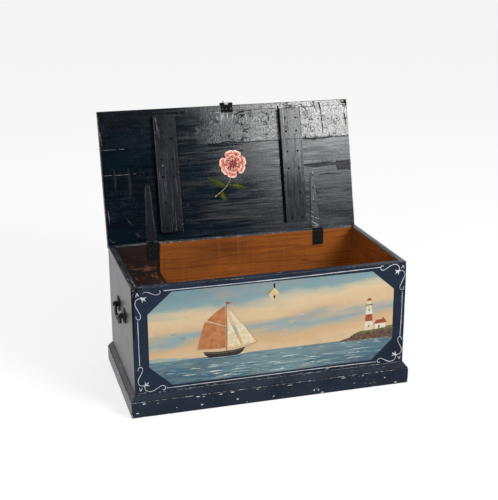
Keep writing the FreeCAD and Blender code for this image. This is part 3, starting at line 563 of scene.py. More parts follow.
outline = [(panel_left, panel_foot + lower_cut[1]), (panel_left + lower_cut[0], panel_foot),
           (panel_right - lower_cut[0], panel_foot), (panel_right, panel_foot + lower_cut[1]),
           (panel_right, panel_head - upper_cut[1]), (panel_right - upper_cut[0], panel_head),
           (panel_left + upper_cut[0], panel_head), (panel_left, panel_head - upper_cut[1])]
panel = lay_paint("picture_ground", "chest", on_front, [("ground", dab(outline, 0.15))],
                  {"ground": picture_paint("artist's oils, sky and sea")})


def front_holes():
    """Cutters for the hasp's slot and the keyhole, a round hole with a narrow foot."""
    slot = [(key_x + side * slot_half, z / MM + grow) for z, grow, sides in
            ((slot_room[0][2], -0.5, (-1, 1)), (slot_room[1][2], 0.5, (1, -1))) for side in sides]
    ring = [(key_x + key_radius * math.sin(turn), key_z + key_radius * math.cos(turn))
            for turn in [math.tau * k / 20 for k in range(20)]]
    foot = [(key_x - key_foot_half, key_z - key_foot_drop), (key_x + key_foot_half, key_z - key_foot_drop),
            (key_x + key_foot_half, key_z), (key_x - key_foot_half, key_z)]
    cutters = []
    for hole in (slot, ring, foot):
        points, faces = dab(hole, 4, -4)
        cutters.append(closed_form("cutter", [on_front(*p) for p in points], faces))
    return cutters


wear(panel, front_holes())

# The picture on it, in thicker paint: a lighthouse and its cottage on a headland, a gaff cutter, gulls, and
# white brush strokes for the seas.
picture = {
    "foam": oil_colour("oil, foam white", "#eef1ec", "#a9bec4", 12),
    "pale sea": oil_colour("oil, pale sea green", "#93abab", "#7d989d"),
    "deep sea": oil_colour("oil, deep sea blue", "#2c4a5c", "#3c5d70"),
    "rock": oil_colour("oil, umber rock", "#4b3a30", "#6d5643", 12),
    "turf": oil_colour("oil, olive turf", "#6f6f45", "#54562f", 14),
    "haze": oil_colour("oil, far hills", "#8ea5a6", "#a8ada0"),
    "lime": oil_colour("oil, limewash", "#e6dcc6", "#cdbd9d", 9),
    "brick": oil_colour("oil, brick red", "#8a4335", "#a3573f", 9),
    "pitch": oil_colour("oil, pitch black", "#29221f", "#3b2f28"),
    "spar": oil_colour("oil, varnished spar", "#6d4226", "#8b5a35"),
    "tan": oil_colour("oil, tanned canvas", "#a8683f", "#bd8055", 14),
    "cream": oil_colour("oil, cream canvas", "#eadcbb", "#d5c09a", 12),
}
sea_marks = []
draw = random.Random(11)
seas, margin = 104, 14
for k in range(seas):
    depth = draw.random() ** 0.8
    z = horizon - 5 - depth * (horizon - panel_foot - 12)
    cut_off = max(0, panel_foot + lower_cut[1] - z)
    length = 22 + 66 * depth * draw.random()
    x = draw.uniform(panel_left + margin + cut_off, panel_right - margin - cut_off - length)
    rise = draw.uniform(-1.5, 2.5) * (0.4 + depth)
    broad = 1.5 + 3.8 * depth * draw.random()
    tone = draw.choice(["foam", "foam", "foam", "pale sea", "deep sea"])
    sea_marks.append((tone, pull([(x, z), (x + 0.35 * length, z + rise + draw.uniform(0, 2)),
                                  (x + 0.7 * length, z + rise * 0.4), (x + length, z + rise * draw.random())],
                                 (0.3, broad, 0.7 * broad, 0.2))))

headland = [(226, 173), (240, 180), (262, 184), (278, 195), (300, 203), (330, 206), (360, 205), (392, 211),
            (416.5, 214), (416.5, 170), (380, 169), (330, 171), (280, 169), (250, 171)]
turf = [(270, 190), (300, 202.5), (330, 206.5), (360, 205.5), (392, 211.5), (416.5, 214.5), (416.5, 203),
        (385, 200), (340, 197), (300, 195)]
tower_foot, tower_head, tower_x = 204, 292, 331
tower = [(tower_x - 15, tower_foot), (tower_x - 10, tower_head), (tower_x + 10, tower_head),
         (tower_x + 15, tower_foot)]
band = [(tower_x - 13.2, 236), (tower_x - 11.8, 260), (tower_x + 11.8, 260), (tower_x + 13.2, 236)]
shore_marks = [
    ("haze", dab([(-411, 176.3), (-411, 187), (-380, 190), (-345, 186), (-312, 183), (-268, 178),
                  (-240, 176.3)], 0.2)),
    ("rock", dab(headland, 0.25)),
    ("turf", dab(turf, 0.32)),
    ("lime", dab(tower, 0.4)),
    ("brick", dab(band, 0.45)),
    ("pitch", dab([(tower_x - 13, tower_head), (tower_x - 13, tower_head + 3), (tower_x + 13, tower_head + 3),
                   (tower_x + 13, tower_head)], 0.5)),
    ("cream", dab([(tower_x - 7, 295), (tower_x - 7, 308), (tower_x + 7, 308), (tower_x + 7, 295)], 0.42)),
    *strokes("pitch", 0.5, ([(tower_x - 2.4, 295), (tower_x - 2.4, 308)], (0.8, 0.8)),
             ([(tower_x + 2.4, 295), (tower_x + 2.4, 308)], (0.8, 0.8))),
    ("brick", dab([(tower_x - 9, 308), (tower_x - 5, 315), (tower_x, 319), (tower_x + 5, 315),
                   (tower_x + 9, 308)], 0.5)),
    ("lime", dab([(354, 205), (354, 224), (392, 226), (392, 208)], 0.4)),
    ("brick", dab([(350, 223.5), (358, 237), (389, 239), (396, 225.5)], 0.46)),
    ("pitch", dab([(366, 208), (366, 217), (371, 217.2), (371, 208)], 0.46)),
    ("brick", dab([(380, 236), (380, 244), (386, 244.3), (386, 236)], 0.5)),
]
for window in (215, 272):
    shore_marks.append(("pitch", dab([(tower_x - 2, window), (tower_x - 2, window + 6),
                                      (tower_x + 2, window + 6), (tower_x + 2, window)], 0.5)))
for k in range(9):
    x = 236 + 19 * k
    shore_marks.append(("foam", pull([(x, 169 + 1.6 * (k % 3)), (x + 9, 171.5 + (k % 2)), (x + 17, 169.5)],
                                     (0.5, 2.0, 0.3), 0.4)))

mast_x, deck = -158, 190
boat_marks = [
    ("deep sea", dab([(-226, 168), (-180, 164), (-120, 166), (-100, 171), (-150, 174), (-210, 173)], 0.25)),
    ("pitch", dab([(-236, 194), (-229, 182), (-214, 172), (-122, 171), (-106, 181), (-94, 197), (-130, 190.5),
                   (-180, 189)], 0.35)),
    ("lime", pull([(-232, 189.5), (-180, 185), (-130, 186), (-99, 192.5)], (1.2, 1.6, 1.6, 1.2), 0.45)),
    ("tan", dab([(mast_x - 3, 202), (mast_x - 50, 202), (mast_x - 97, 207), (mast_x - 86, 252),
                 (mast_x - 71, 296), (mast_x - 40, 286), (mast_x - 3, 270)], 0.4)),
    ("tan", dab([(mast_x - 2.5, 275), (mast_x - 64, 301), (mast_x - 40, 322), (mast_x - 2.5, 346)], 0.36)),
    ("cream", dab([(mast_x + 5, 203), (mast_x + 50, 201), (mast_x + 30, 245), (mast_x + 4, 306)], 0.4)),
    ("cream", dab([(mast_x + 56, 204), (mast_x + 98, 209), (mast_x + 60, 268), (mast_x + 6, 330),
                   (mast_x + 34, 262)], 0.36)),
    *strokes("spar", 0.6, ([(mast_x, deck), (mast_x + 0.5, 356)], (3.2, 2.2))),
    *strokes("spar", 0.5,
             ([(mast_x, 200), (mast_x - 102, 205)], (2.2, 1.6)),
             ([(mast_x - 1, 270), (mast_x - 73, 300)], (2.0, 1.4)),
             ([(mast_x + 52, 193), (mast_x + 104, 209)], (2.6, 1.4)),
             ([(mast_x + 104, 209), (mast_x + 1, 348)], (0.8, 0.8)),
             ([(mast_x + 53, 196), (mast_x + 1, 312)], (0.8, 0.8)),
             ([(mast_x - 22, 190), (mast_x, 308)], (0.8, 0.8)),
             ([(mast_x + 20, 190), (mast_x, 308)], (0.8, 0.8))),
    ("brick", dab([(mast_x + 1, 350), (mast_x + 1, 357), (mast_x + 17, 355), (mast_x + 12, 352.5),
                   (mast_x + 16, 349)], 0.5)),
    *strokes("foam", 0.5,
             ([(-106, 176), (-118, 171), (-150, 169), (-190, 169.5), (-236, 172)], (1.0, 3.0, 1.6, 2.4, 0.4)),
             ([(-93, 173), (-103, 176), (-112, 172)], (0.5, 2.6, 0.6))),
]
for reef in range(3):
    boat_marks += strokes("spar", 0.47, ([(mast_x - 4, 214 + 14 * reef),
                                          (mast_x - 93 + 4 * reef, 218 + 14 * reef)], (0.5, 0.5)))
gulls = ((60, 262, 15), (98, 284, 11), (36, 236, 9), (-330, 262, 12), (-300, 246, 9), (228, 338, 10))
for x, z, span in gulls:
    boat_marks += strokes("lime" if x > 0 else "pitch", 0.4,
                          ([(x - span, z + span * 0.28), (x - span * 0.45, z + span * 0.42), (x, z),
                            (x + span * 0.5, z + span * 0.5), (x + span, z + span * 0.22)],
                           (0.4, 1.7, 1.3, 1.7, 0.3)))
lay_paint("picture_seas", "chest", on_front, sea_marks, picture)
lay_paint("picture_shore", "chest", on_front, shore_marks, picture)
lay_paint("picture_boat", "chest", on_front, boat_marks, picture)

# Ghost of a lost escutcheon round the keyhole: the picture stops there and the old ground shows. The metal's
# tarnish still rims it above, and is a piece of its own, because a cut piece keeps one finish.
ghost = [(key_x - 1, 390), (key_x + 9, 381), (key_x + 20, 371), (key_x + 15, 358), (key_x + 4, 347),
         (key_x, 345), (key_x - 7, 349), (key_x - 15, 360), (key_x - 22, 371), (key_x - 11, 382)]
escutcheon_ghost = lay_paint("escutcheon_ghost", "chest", on_front, [("old ground", dab(ghost, 0.2))],
                             {"old ground": oil_colour("old cream ground", "#d6c6a3", "#cdb48e", 9)})
wear(escutcheon_ghost, front_holes())
tarnish = [("tarnish", pull([(key_x - 20, 366), (key_x - 20, 371), (key_x - 11, 381), (key_x - 3, 388)],
                            (1.2, 5.4, 6.6, 4.6, 1.4), 0.3, 0.22)),
           ("tarnish", pull([(key_x + 4, 385), (key_x + 18, 371), (key_x + 16, 363)], (0.8, 2.2, 1.4, 0.6),
                            0.3, 0.22))]
lay_paint("escutcheon_tarnish", "chest", on_front, tarnish,
          {"tarnish": oil_colour("tarnished varnish", "#84794f", "#a3946a", 7)})

# ---------------------------------------------------------------- white lining
# A thin white line of enamel round the panel, pulled freehand with a lining brush. It stops short of each
# corner in a hooked scroll, and a three-lobed sprig joins the two scrolls there.
line_left, line_right, line_foot = -441.5, 447.5, 85
line_head_left, line_head_right = 415.5, 421
lining = oil_colour("white lining enamel", "#e9e9ec", "#bcbfc8", 30)
upright_scroll = [(-6, 71), (-4, 79), (1, 83), (7, 80), (8.5, 71), (4, 60), (-2, 48), (-7, 36), (-5, 24),
                  (2, 18.5), (11, 18)]
level_scroll = [(13, 15), (15, 4), (23, -3.5), (35, -5), (47, -1), (58, 5.5), (69, 10.5), (78, 8), (80.5, 1),
                (76, -4.5), (70, -2)]
flat_scroll = [(17, 3), (27, -1), (38, 2), (50, 8), (61, 11), (70, 8), (73, 2), (69, -1.5)]
lining_marks = []
for across_x, up_z, stretch in ((1, 1, 1.0), (-1, 1, 0.98), (1, -1, 1.06), (-1, -1, 1.04)):
    corner_x = line_left if across_x > 0 else line_right
    corner_z = line_foot if up_z > 0 else line_head_left if across_x > 0 else line_head_right

    def mirrored(points, turn=across_x, flip=up_z, tall=stretch, x=corner_x, z=corner_z):
        return [(x + turn * u, z + flip * v * tall) for u, v in points]

    faded = across_x > 0 > up_z
    lining_marks += [
        ("line", pull(mirrored(upright_scroll), (1.5, 1.8, 1.4, 1.9, 1.6, 2.2))),
        ("line", pull(mirrored(flat_scroll if faded else level_scroll),
                      (0.7, 1.4, 1.1, 1.7, 1.2) if faded else (2.2, 1.7, 2.0, 1.5, 1.9, 1.4))),
        *[("line", pull(mirrored(points), widths, top))
          for points, widths, top in (([(10, 14), (15, 19), (16, 31)], (1.8, 4.6, 0.8), 0.4),
                                      ([(10, 14), (18, 19), (27, 27)], (2.0, 6.4, 1.0), 0.45),
                                      ([(12, 19), (21, 18), (29, 14)], (1.6, 4.4, 0.8), 0.4),
                                      ([(-4, 12), (-2, 6), (0, -1)], (0.8, 2.4, 0.7), 0.3),
                                      ([(6, 11), (3, 5), (0, -1)], (0.7, 2.4, 0.7), 0.3))],
    ]
scroll_rise, scroll_run = 87, 84
head_rise = scroll_rise * 1.05
lining_marks += strokes(
    "line", 0.3,
    ([(line_left, line_foot + scroll_rise), (line_left - 0.8, 240),
      (line_left - 1, line_head_left - head_rise)], (1.4, 1.8, 1.5, 1.9, 1.4)),
    ([(line_right - 1, line_foot + scroll_run), (line_right + 1.4, 250),
      (line_right + 1, line_head_right - head_rise)], (1.4, 1.9, 1.5, 1.8, 1.4)),
    ([(line_left + scroll_run, line_foot), (-150, 85.6), (120, 86.6), (line_right - scroll_run, 84.5)],
     (1.7, 2.1, 1.7, 2.4, 1.8, 2.1, 1.7)),
    ([(line_left + scroll_run, line_head_left), (-120, 415), (130, 417), (line_right - 78, line_head_right)],
     (1.9, 2.6, 2.0, 2.7, 2.0, 2.3, 1.7)))
lay_paint("white_lining", "chest", on_front, lining_marks, {"line": lining})

# Scuffs along the foot, where the blue is rubbed to the undercoat and the wood just above the plinth.
kicked = random.Random(17)
foot_marks = []
first_scuff, scuff_pitch = -452, 20.4
for k in range(44):
    x = first_scuff + scuff_pitch * k + kicked.uniform(-7, 7)
    z = plinth_top / MM + kicked.choice((1.6, 1.6, 4.5, 8))
    length = kicked.uniform(5, 26)
    foot_marks += strokes(kicked.choice(("undercoat", "wood", "wood")), 0.12,
                          ([(x, z), (x + length / 2, z + kicked.uniform(-0.5, 0.6)), (x + length, z)],
                           (0.4, kicked.uniform(1.2, 3.0), 0.4)))
for begin, end in ((-330, -236), (-222, -80), (-66, 40), (52, 190), (201, 330), (338, 452)):
    z = plinth_top / MM + 1.2
    foot_marks += strokes("undercoat", 0.12,
                          ([(begin, z), ((begin + end) / 2, z + kicked.uniform(-0.3, 0.4)), (end, z)],
                           (0.3, 1.1, 0.6, 1.3, 0.7, 1.0, 0.3)))
lay_paint("foot_scuffs", "chest", on_front, foot_marks, {
    "undercoat": oil_colour("undercoat rubbed bare, foot", "#b2b1b1", "#76767a", 8),
    "wood": oil_colour("wood rubbed bare, foot", "#6f665f", "#46413f", 8)})

# ---------------------------------------------------------------- wear on the rim
# The rim is where hands and gear go over the side. Its paint is scraped pale in short strokes, most near
# the till, and along the right end it is dark with dirt inside and rubbed light outside.


def on_rim(x, y, proud):
    """A place on the carcase's rim, in metres."""
    return Vector((x * MM, y * MM, carcase_high.z + proud * MM))


scraped = random.Random(29)
rim_left, rim_right = carcase_low.x / MM, carcase_high.x / MM
rim_front, rim_back = carcase_low.y / MM, carcase_high.y / MM
rim_marks = [
    *strokes("dirt", 0.12,
             ([(rim_right - 20, rim_front + 24), (rim_right - 20, 0), (rim_right - 20, rim_back - 24)],
              (3.0, 7.2, 5.0, 7.6, 5.2, 6.8, 2.0)),
             ([(rim_right - 12, rim_front + 60), (rim_right - 13, 40)], (1.0, 5.2, 2.4, 4.4, 1.0))),
    *strokes("scraped", 0.12,
             ([(rim_right - 2.4, rim_front + 6), (rim_right - 2.2, 0), (rim_right - 2.4, rim_back - 8)],
              (0.8, 3.4, 2.0, 3.8, 2.4, 3.2, 0.8))),
]
for k in range(46):
    y, length = scraped.uniform(rim_front + 6, rim_back - 50), scraped.uniform(10, 50)
    x = rim_left + scraped.uniform(2.5, 19.5)
    rim_marks += strokes(scraped.choice(("scraped", "slate", "slate", "slate")), 0.12,
                         ([(x, y), (x + scraped.uniform(-1, 1), y + length / 2), (x, y + length)],
                          (0.6, scraped.uniform(1.2, 3.6), 0.6)))
till_side = 22  # the long rims are scraped from here on, and most of all near here
scraped_run = 640
for k in range(34):
    x = rim_left + till_side + scraped_run * scraped.random() ** 2
    length = scraped.uniform(6, 30)
    y = scraped.choice((rim_front + 4, rim_front + 12, rim_back - 12)) + scraped.uniform(-1.5, 5)
    rim_marks += strokes(scraped.choice(("scraped", "slate")), 0.12,
                         ([(x, y), (x + length / 2, y + scraped.uniform(-0.8, 0.8)), (x + length, y)],
                          (0.6, scraped.uniform(1.4, 4.0), 0.6)))
rim_finishes = {"scraped": oil_colour("undercoat scraped bare", "#a3a4a6", "#5d6066", 9),
                "slate": oil_colour("paint scraped thin", "#4b5564", "#2e3743", 12),
                "dirt": oil_colour("dirt on the rim", "#0d0f13", "#15181d", 14, 0.05)}
lay_paint("rim_scrapes", "chest", on_rim, rim_marks, rim_finishes)

# The front's upper left corner has been knocked and scratched pale.
corner_marks = [
    ("dirt", dab([(rim_left + 0.8, 431), (rim_left + 36, 431), (rim_left + 27, 419), (rim_left + 15, 408),
                  (rim_left + 9, 390), (rim_left + 0.8, 384)], 0.04)),
    ("dirt", pull([(rim_left + 5, 396), (rim_left + 4, 350), (rim_left + 4.5, 300), (rim_left + 4, 262)],
                  (9.0, 6.5, 7.5, 4.5, 5.5, 2.0), 0.05)),
]
for k in range(22):
    x = rim_left + 3 + 34 * scraped.random() ** 1.5
    z = carcase_high.z / MM - 3 - 26 * scraped.random() ** 1.4
    slant, length = scraped.uniform(-1.2, 1.2), scraped.uniform(2.5, 8)
    end = (x + length / 2 * math.cos(slant), z - length / 2 * abs(math.sin(slant)))
    corner_marks += strokes(scraped.choice(("scraped", "slate")), 0.12,
                            ([(x, z), end], (0.9, scraped.uniform(1.6, 3.4), 0.8)))
lay_paint("corner_scratches", "chest", on_front, corner_marks, rim_finishes)

# ---------------------------------------------------------------- plinth
# Four mitred mouldings nailed round the foot: a plain face, a quirk and a splay up to the boards. The plinth
# takes every kick, so its blue paint is chipped to the white undercoat and rubbed along the edges.
plinth_paint = painted_pine("navy paint, plinth", "x", "#222c3a", "#1a2330", "#a8a6a4", -0.02, 0.36, 0.1)
plinth_side_paint = painted_pine("navy paint, plinth ends", "y", "#1a202b", "#12171f", "#a8a6a4", 0.04, 0.26,
                                 0.35)
plinth_splay_paint = painted_pine("navy paint gone dull, splay", "x", "#232c3b", "#181f2a", "#8f8d92", 0.0,
                                  0.45, 0.1)
plinth_side_splay = painted_pine("navy paint gone dull, side splays", "y", "#22252b", "#14161b", "#8f8d92",
                                 0.0, 0.36, 0.34)
plinth_rubbed = painted_pine("rubbed plinth edge", "x", "#2f3743", "#242c38", "#b4b3b2", 0.13, 0.42, 0.25)
undercoat = oil_colour("white lead undercoat, bared", "#e4e6e8", "#b9bcc0", 6)
plinth_face_top = 54
chip_depth = 0.4
chip_line = 47  # most chips sit at the quirk, this many millimetres up
front_chips = [(-435, 47, 11, 4.5), (-457, 17, 10, 4), (-259, 49, 14, 4), (-240, 46.5, 9, 2.5),
               (-183, 47, 12, 3.5), (-144, 49, 13, 4), (-127, 22, 8, 5), (-246, 19, 8, 5), (-4, 15, 6, 4),
               (137, 18, 5, 6),
               (152, 17, 5, 6), (166, 6, 11, 3.5), (-96, 7, 5, 3), (52, 47, 16, 2), (-60, 48, 10, 2),
               (240, 48, 18, 2.2), (310, 47, 9, 2.5), (390, 30, 5, 4), (430, 8, 12, 4), (-330, 20, 4, 3),
               (280, 24, 4, 3), (-390, 44, 7, 2)]


def flake(x, z, width, height, seed):
    """Outline of a chip, ragged and longer along the grain."""
    points = []
    for k in range(14):
        turn = math.tau * k / 14
        ragged = 1.0 + 0.45 * noise.noise(Vector((3 * math.cos(turn), 3 * math.sin(turn), seed)))
        points.append((x + width / 2 * math.cos(turn) * ragged, z + height / 2 * math.sin(turn) * ragged))
    return points


kicks = random.Random(29)
for name, out, way, paint, splay in (("plinth_front", -BACK, RIGHT, plinth_paint, plinth_splay_paint),
                                     ("plinth_back", BACK, RIGHT, plinth_paint, plinth_splay_paint),
                                     ("plinth_left", -RIGHT, BACK, plinth_side_paint, plinth_side_splay),
                                     ("plinth_right", RIGHT, BACK, plinth_side_paint, plinth_side_splay)):
    moulding = bench_copy(name, 0.5)
    low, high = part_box(name)
    reach = max(abs(high.dot(out)), abs(low.dot(out)))
    half = max(abs(high.dot(way)), abs(low.dot(way)))
    seed = 13 * out.x + 17 * out.y
    start, end = out * reach - way * half, out * reach + way * half
    chips = front_chips
    if name != "plinth_front":
        count = 15
        chips = [(half / MM * (2 * k + 1 - count) / count + kicks.uniform(-8, 8),
                  kicks.choice((kicks.uniform(5, 30), chip_line)),
                  kicks.uniform(4, 13), kicks.uniform(2, 4.5)) for k in range(count)]
    points, faces = joined([dab(flake(*chip, 7.3 * k), 1.0, -chip_depth) for k, chip in enumerate(chips)])
    points = [out * (reach + proud * MM) + way * x * MM + UP * z * MM for x, z, proud in points]
    face_rise = UP * plinth_face_top * MM
    knocks = []
    for turn in (-way, way):
        foot = out * reach + turn * half
        pair = (out, turn) if abs(out.y) > 0.5 else (turn, out)
        knocks.append(worn_arris(foot, foot + face_rise, *pair, 1.8, 60 + 9 * foot.x + 5 * foot.y, 2.6,
                                 (0.05, 9, 3.5)))
    wear(moulding, knocks + [
        worn_arris(start + face_rise, end + face_rise, out, UP, 1.1, seed + 1, 1.6),
        worn_arris(start, end, out, -UP, 2.6, seed + 2, 2.5),
        closed_form("cutter", points, faces),
    ])
    chip_floor = reach - chip_depth * MM
    give_finishes(moulding, [paint, plinth_rubbed, undercoat, splay],
                  lambda c, n, worn: (3 if n.z > 0.2 else 0) if not worn
                  else 2 if abs(c.dot(out) - chip_floor) < 0.05 * MM else 1)
    place_piece(moulding, "chest", "painted_pine", name)

# ---------------------------------------------------------------- till floor
# A thin pine board housed in the three walls, once the bottom of a lidded till. It is black brown with old
# stain and dirt, and rubbed to a lighter streak where things were dropped in.
till = bench_copy("till_floor", board_arris)
till.data.materials.append(bare_pine("stained pine, till floor", "y", "#281b15", "#150e0b", True))
place_piece(till, "chest", "bare_pine", "till_floor")

# ---------------------------------------------------------------- dust in the bottom's joints
# The bottom boards have shrunk apart by half a millimetre, and a century of dust has packed the joints. It is
# dark and matt, and lies a millimetre below the boards' faces.


def on_floor(x, y, proud):
    """A place on the floor of the hold, in metres."""
    return Vector((x * MM, y * MM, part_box("bottom_board_2")[1].z + proud * MM))


dust_marks = []
hold_half = carcase_high.x / MM - 1
for number in (1, 2):
    near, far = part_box(f"bottom_board_{number}")[1].y / MM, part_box(f"bottom_board_{number + 1}")[0].y / MM
    dust_marks.append(("dust", dab([(-hold_half, near), (hold_half, near), (hold_half, far),
                                    (-hold_half, far)], -1.0, -9.0)))
lay_paint("bottom_dust", "chest", on_floor, dust_marks,
          {"dust": oil_colour("packed dust", "#1d150f", "#2b2018", 10, 0.02)}, "bare_pine")

# ---------------------------------------------------------------- lid planks and strips
# Three pine planks edge to edge, with a strip nailed along the front edge and down each side. The underside
# is brushed a bluish black and thickly varnished. On the front plank the varnish has crazed and lifted.
lid_hinge = next(joint for joint in frame["joints"] if joint["name"] == "lid_hinge")
lean = math.radians(lid_hinge["range_deg"][1] - 90)
pivot = Vector(lid_hinge["pos_m"])
lid_up = Vector((0, math.sin(lean), math.cos(lean)))
lid_out = Vector((0, -math.cos(lean), math.sin(lean)))


def reach_of(node, way):
    """How far a node reaches from the hinges' axis, least and most, in millimetres."""
    spans = [(corner.co - pivot).dot(way) / MM for corner in frame["nodes"][node].data.vertices]
    return min(spans), max(spans)


lid_length = reach_of("lid_front_strip", lid_up)[1]
lid_tail = -reach_of("lid_plank_back", lid_up)[0]
lid_thick = -reach_of("lid_plank_middle", lid_out)[0]
lid_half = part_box("lid_right_strip")[1].x / MM
front_joint, back_joint = [reach_of(node, lid_up)[0] - 0.3
                           for node in ("lid_plank_front", "lid_plank_middle")]


def on_lid(x, s, proud):
    """A place on the lid's underside in metres, s millimetres up from the hinges' axis."""
    return pivot + (RIGHT * x + lid_up * s + lid_out * proud) * MM


def varnished_black(name, grain, paint, deep, streak, ridge, gloss, shine, crazing, level=1.0):
    """Black blue paint under thick brushed varnish, which left streaks along the grain and a bluish bloom.
    Towards the lid's front edge it is crazed into small lifted scales, with dark pits and cracks, and there
    the bloom is mixed whiter towards the lid's right as a painted reflection. Level is how much of the brush
    marks is left at the lid's left, where more coats have filled them; the milky streaks are cut down there
    by the same share, which darkens the left as painted shade."""
    material, add = new_material(name)
    place = add("TexCoord").outputs["Object"]
    drawn = add("Mapping", {"Vector": place, "Scale": squeezed(grain, 15)})
    streaks = add("TexNoise", {"Vector": drawn, "Scale": across(streak), "Detail": 3.0, "Roughness": 0.6})
    hairs = add("TexNoise", {"Vector": drawn, "Scale": across(3.4), "Detail": 3.0, "Roughness": 0.6})
    crossing = add("TexNoise", {"Vector": add("Mapping", {"Vector": place, "Scale": squeezed("z", 7)}),
                                "Scale": across(5), "Detail": 4.0, "Roughness": 0.65})
    hollows = add("TexNoise", {"Vector": add("Mapping", {"Vector": place, "Scale": squeezed(grain, 4)}),
                               "Scale": across(60), "Detail": 4.0, "Roughness": 0.55})
    along = add("VectorMath", (add("VectorMath", (place, pivot), operation="SUBTRACT"), lid_up),
                operation="DOT_PRODUCT").outputs["Value"]
    edge = add("TexNoise", {"Vector": place, "Scale": across(40), "Detail": 4.0})
    ragged = add("Math", (edge, 0.12, -0.06), operation="MULTIPLY_ADD")
    up_front = add("MapRange", {"Value": along, "From Min": (front_joint - 3) * MM,
                                "From Max": (front_joint + 3) * MM, "To Max": crazing},
                   interpolation_type="SMOOTHSTEP")
    parts = add("SeparateXYZ", {"Vector": place})
    to_right = add("MapRange", {"Value": add("Math", (parts.outputs["X"], ragged), operation="ADD"),
                                "From Min": -0.16, "From Max": 0.0, "To Min": 0.06},
                   interpolation_type="SMOOTHSTEP")
    crazed = add("Math", (up_front, to_right), operation="MULTIPLY")
    warped = add("TexNoise", {"Vector": place, "Scale": across(22), "Detail": 3.0})
    warped = add("VectorMath", (warped.outputs["Color"], (0.012,) * 3, place), operation="MULTIPLY_ADD")
    scales = add("TexVoronoi", {"Vector": add("Mapping", {"Vector": warped,
                                                          "Scale": squeezed(grain, 1.5)}),
                                "Scale": across(8), "Randomness": 1.0}, feature="F1")
    drips = add("TexNoise", {"Vector": add("Mapping", {"Vector": warped, "Scale": squeezed("z", 2.6)}),
                             "Scale": across(4.5), "Detail": 4.0, "Roughness": 0.62})
    lifted = add("Math", (scales.outputs["Distance"], 0.35, drips), operation="MULTIPLY_ADD")
    lifted = add("Math", (lifted, crazed), operation="MULTIPLY")
    cracks = add("TexVoronoi", {"Vector": add("Mapping", {"Vector": warped,
                                                          "Scale": squeezed(grain, 1.7)}),
                                "Scale": across(14), "Randomness": 1.0}, feature="DISTANCE_TO_EDGE")
    split = add("MapRange", {"Value": cracks.outputs["Distance"], "From Min": 0.06, "From Max": 0.02,
                             "To Max": 0.9})
    open_here = add("MapRange", {"Value": edge, "From Min": 0.54, "From Max": 0.6})
    split = add("Math", (split, open_here), operation="MULTIPLY")
    pits = add("TexNoise", {"Vector": add("Mapping", {"Vector": place, "Scale": squeezed(grain, 2.8)}),
                            "Scale": across(8), "Detail": 4.0, "Roughness": 0.7})
    pits = add("Math", (edge, 0.3, pits), operation="MULTIPLY_ADD")
    pits = add("MapRange", {"Value": pits, "From Min": 0.765, "From Max": 0.82},
               interpolation_type="SMOOTHSTEP")
    pits = add("Math", (pits, split), operation="MAXIMUM")
    pits = add("Math", (pits, crazed), operation="MULTIPLY")
    tone = add("MapRange", {"Value": hollows, "From Min": 0.4, "From Max": 0.62})
    colour = add("Mix", {"Factor": tone, "A": linear(paint), "B": linear(deep)}, data_type="RGBA")
    milky = add("Math", (hairs, crossing), operation="ADD")
    milky = add("MapRange", {"Value": milky, "From Min": 0.98, "From Max": 1.24, "To Max": 0.6})
    clouds = add("TexNoise", {"Vector": place, "Scale": across(110), "Detail": 4.0, "Roughness": 0.6})
    clouds = add("MapRange", {"Value": clouds, "From Min": 0.46, "From Max": 0.62, "To Min": 0.12})
    milky = add("Math", (milky, clouds), operation="MULTIPLY")
    # brush marks coarser towards the right; the milky streaks are scaled by this too, which darkens the left as
    # painted shade
    coarse_and_shade = add("MapRange", {"Value": parts.outputs["X"], "From Min": -0.32, "From Max": 0.05,
                              "To Min": level, "To Max": 1.0})
    milky = add("Math", (milky, coarse_and_shade), operation="MULTIPLY")
    colour = add("Mix", {"Factor": milky, "A": colour, "B": linear("#3b434e")}, data_type="RGBA")
    # the bloom is mixed whiter towards the lid's right: a painted reflection
    glare_to_right = add("MapRange", {"Value": parts.outputs["X"], "From Min": 0.0, "From Max": 0.33,
                              "To Min": 0.14, "To Max": 1.0})
    bloom_and_glare = add("Math", (crazed, add("MapRange", {"Value": drips, "From Min": 0.33, "From Max": 0.56,
                                                  "To Max": glare_to_right})), operation="MULTIPLY")
    colour = add("Mix", {"Factor": bloom_and_glare, "A": colour, "B": linear("#b3b4b2")}, data_type="RGBA")
    colour = add("Mix", {"Factor": pits, "A": colour, "B": linear("#0a0807")}, data_type="RGBA")
    height = add("Math", (streaks, ridge, hollows), operation="MULTIPLY_ADD")
    height = add("Math", (lifted, 1.1, height), operation="MULTIPLY_ADD")
    height = add("Math", (pits, -0.8, height), operation="MULTIPLY_ADD")
    bump = add("Bump", {"Height": height, "Distance": 0.8 * MM,
                        "Strength": add("Math", (coarse_and_shade, 0.7), operation="MULTIPLY")})
    rough = add("Math", (hollows, streaks), operation="ADD")
    rough = add("MapRange", {"Value": rough, "From Min": 0.8, "From Max": 1.2, "To Min": gloss,
                             "To Max": 3 * gloss})
    rough = add("Math", (rough, coarse_and_shade), operation="MULTIPLY")
    rough = add("Math", (pits, 0.6, rough), operation="MULTIPLY_ADD")
    shader = add("BsdfPrincipled", {"Base Color": colour, "Roughness": rough, "Normal": bump,
                                    "Specular IOR Level": shine})
    add("OutputMaterial", {"Surface": shader})
    return material


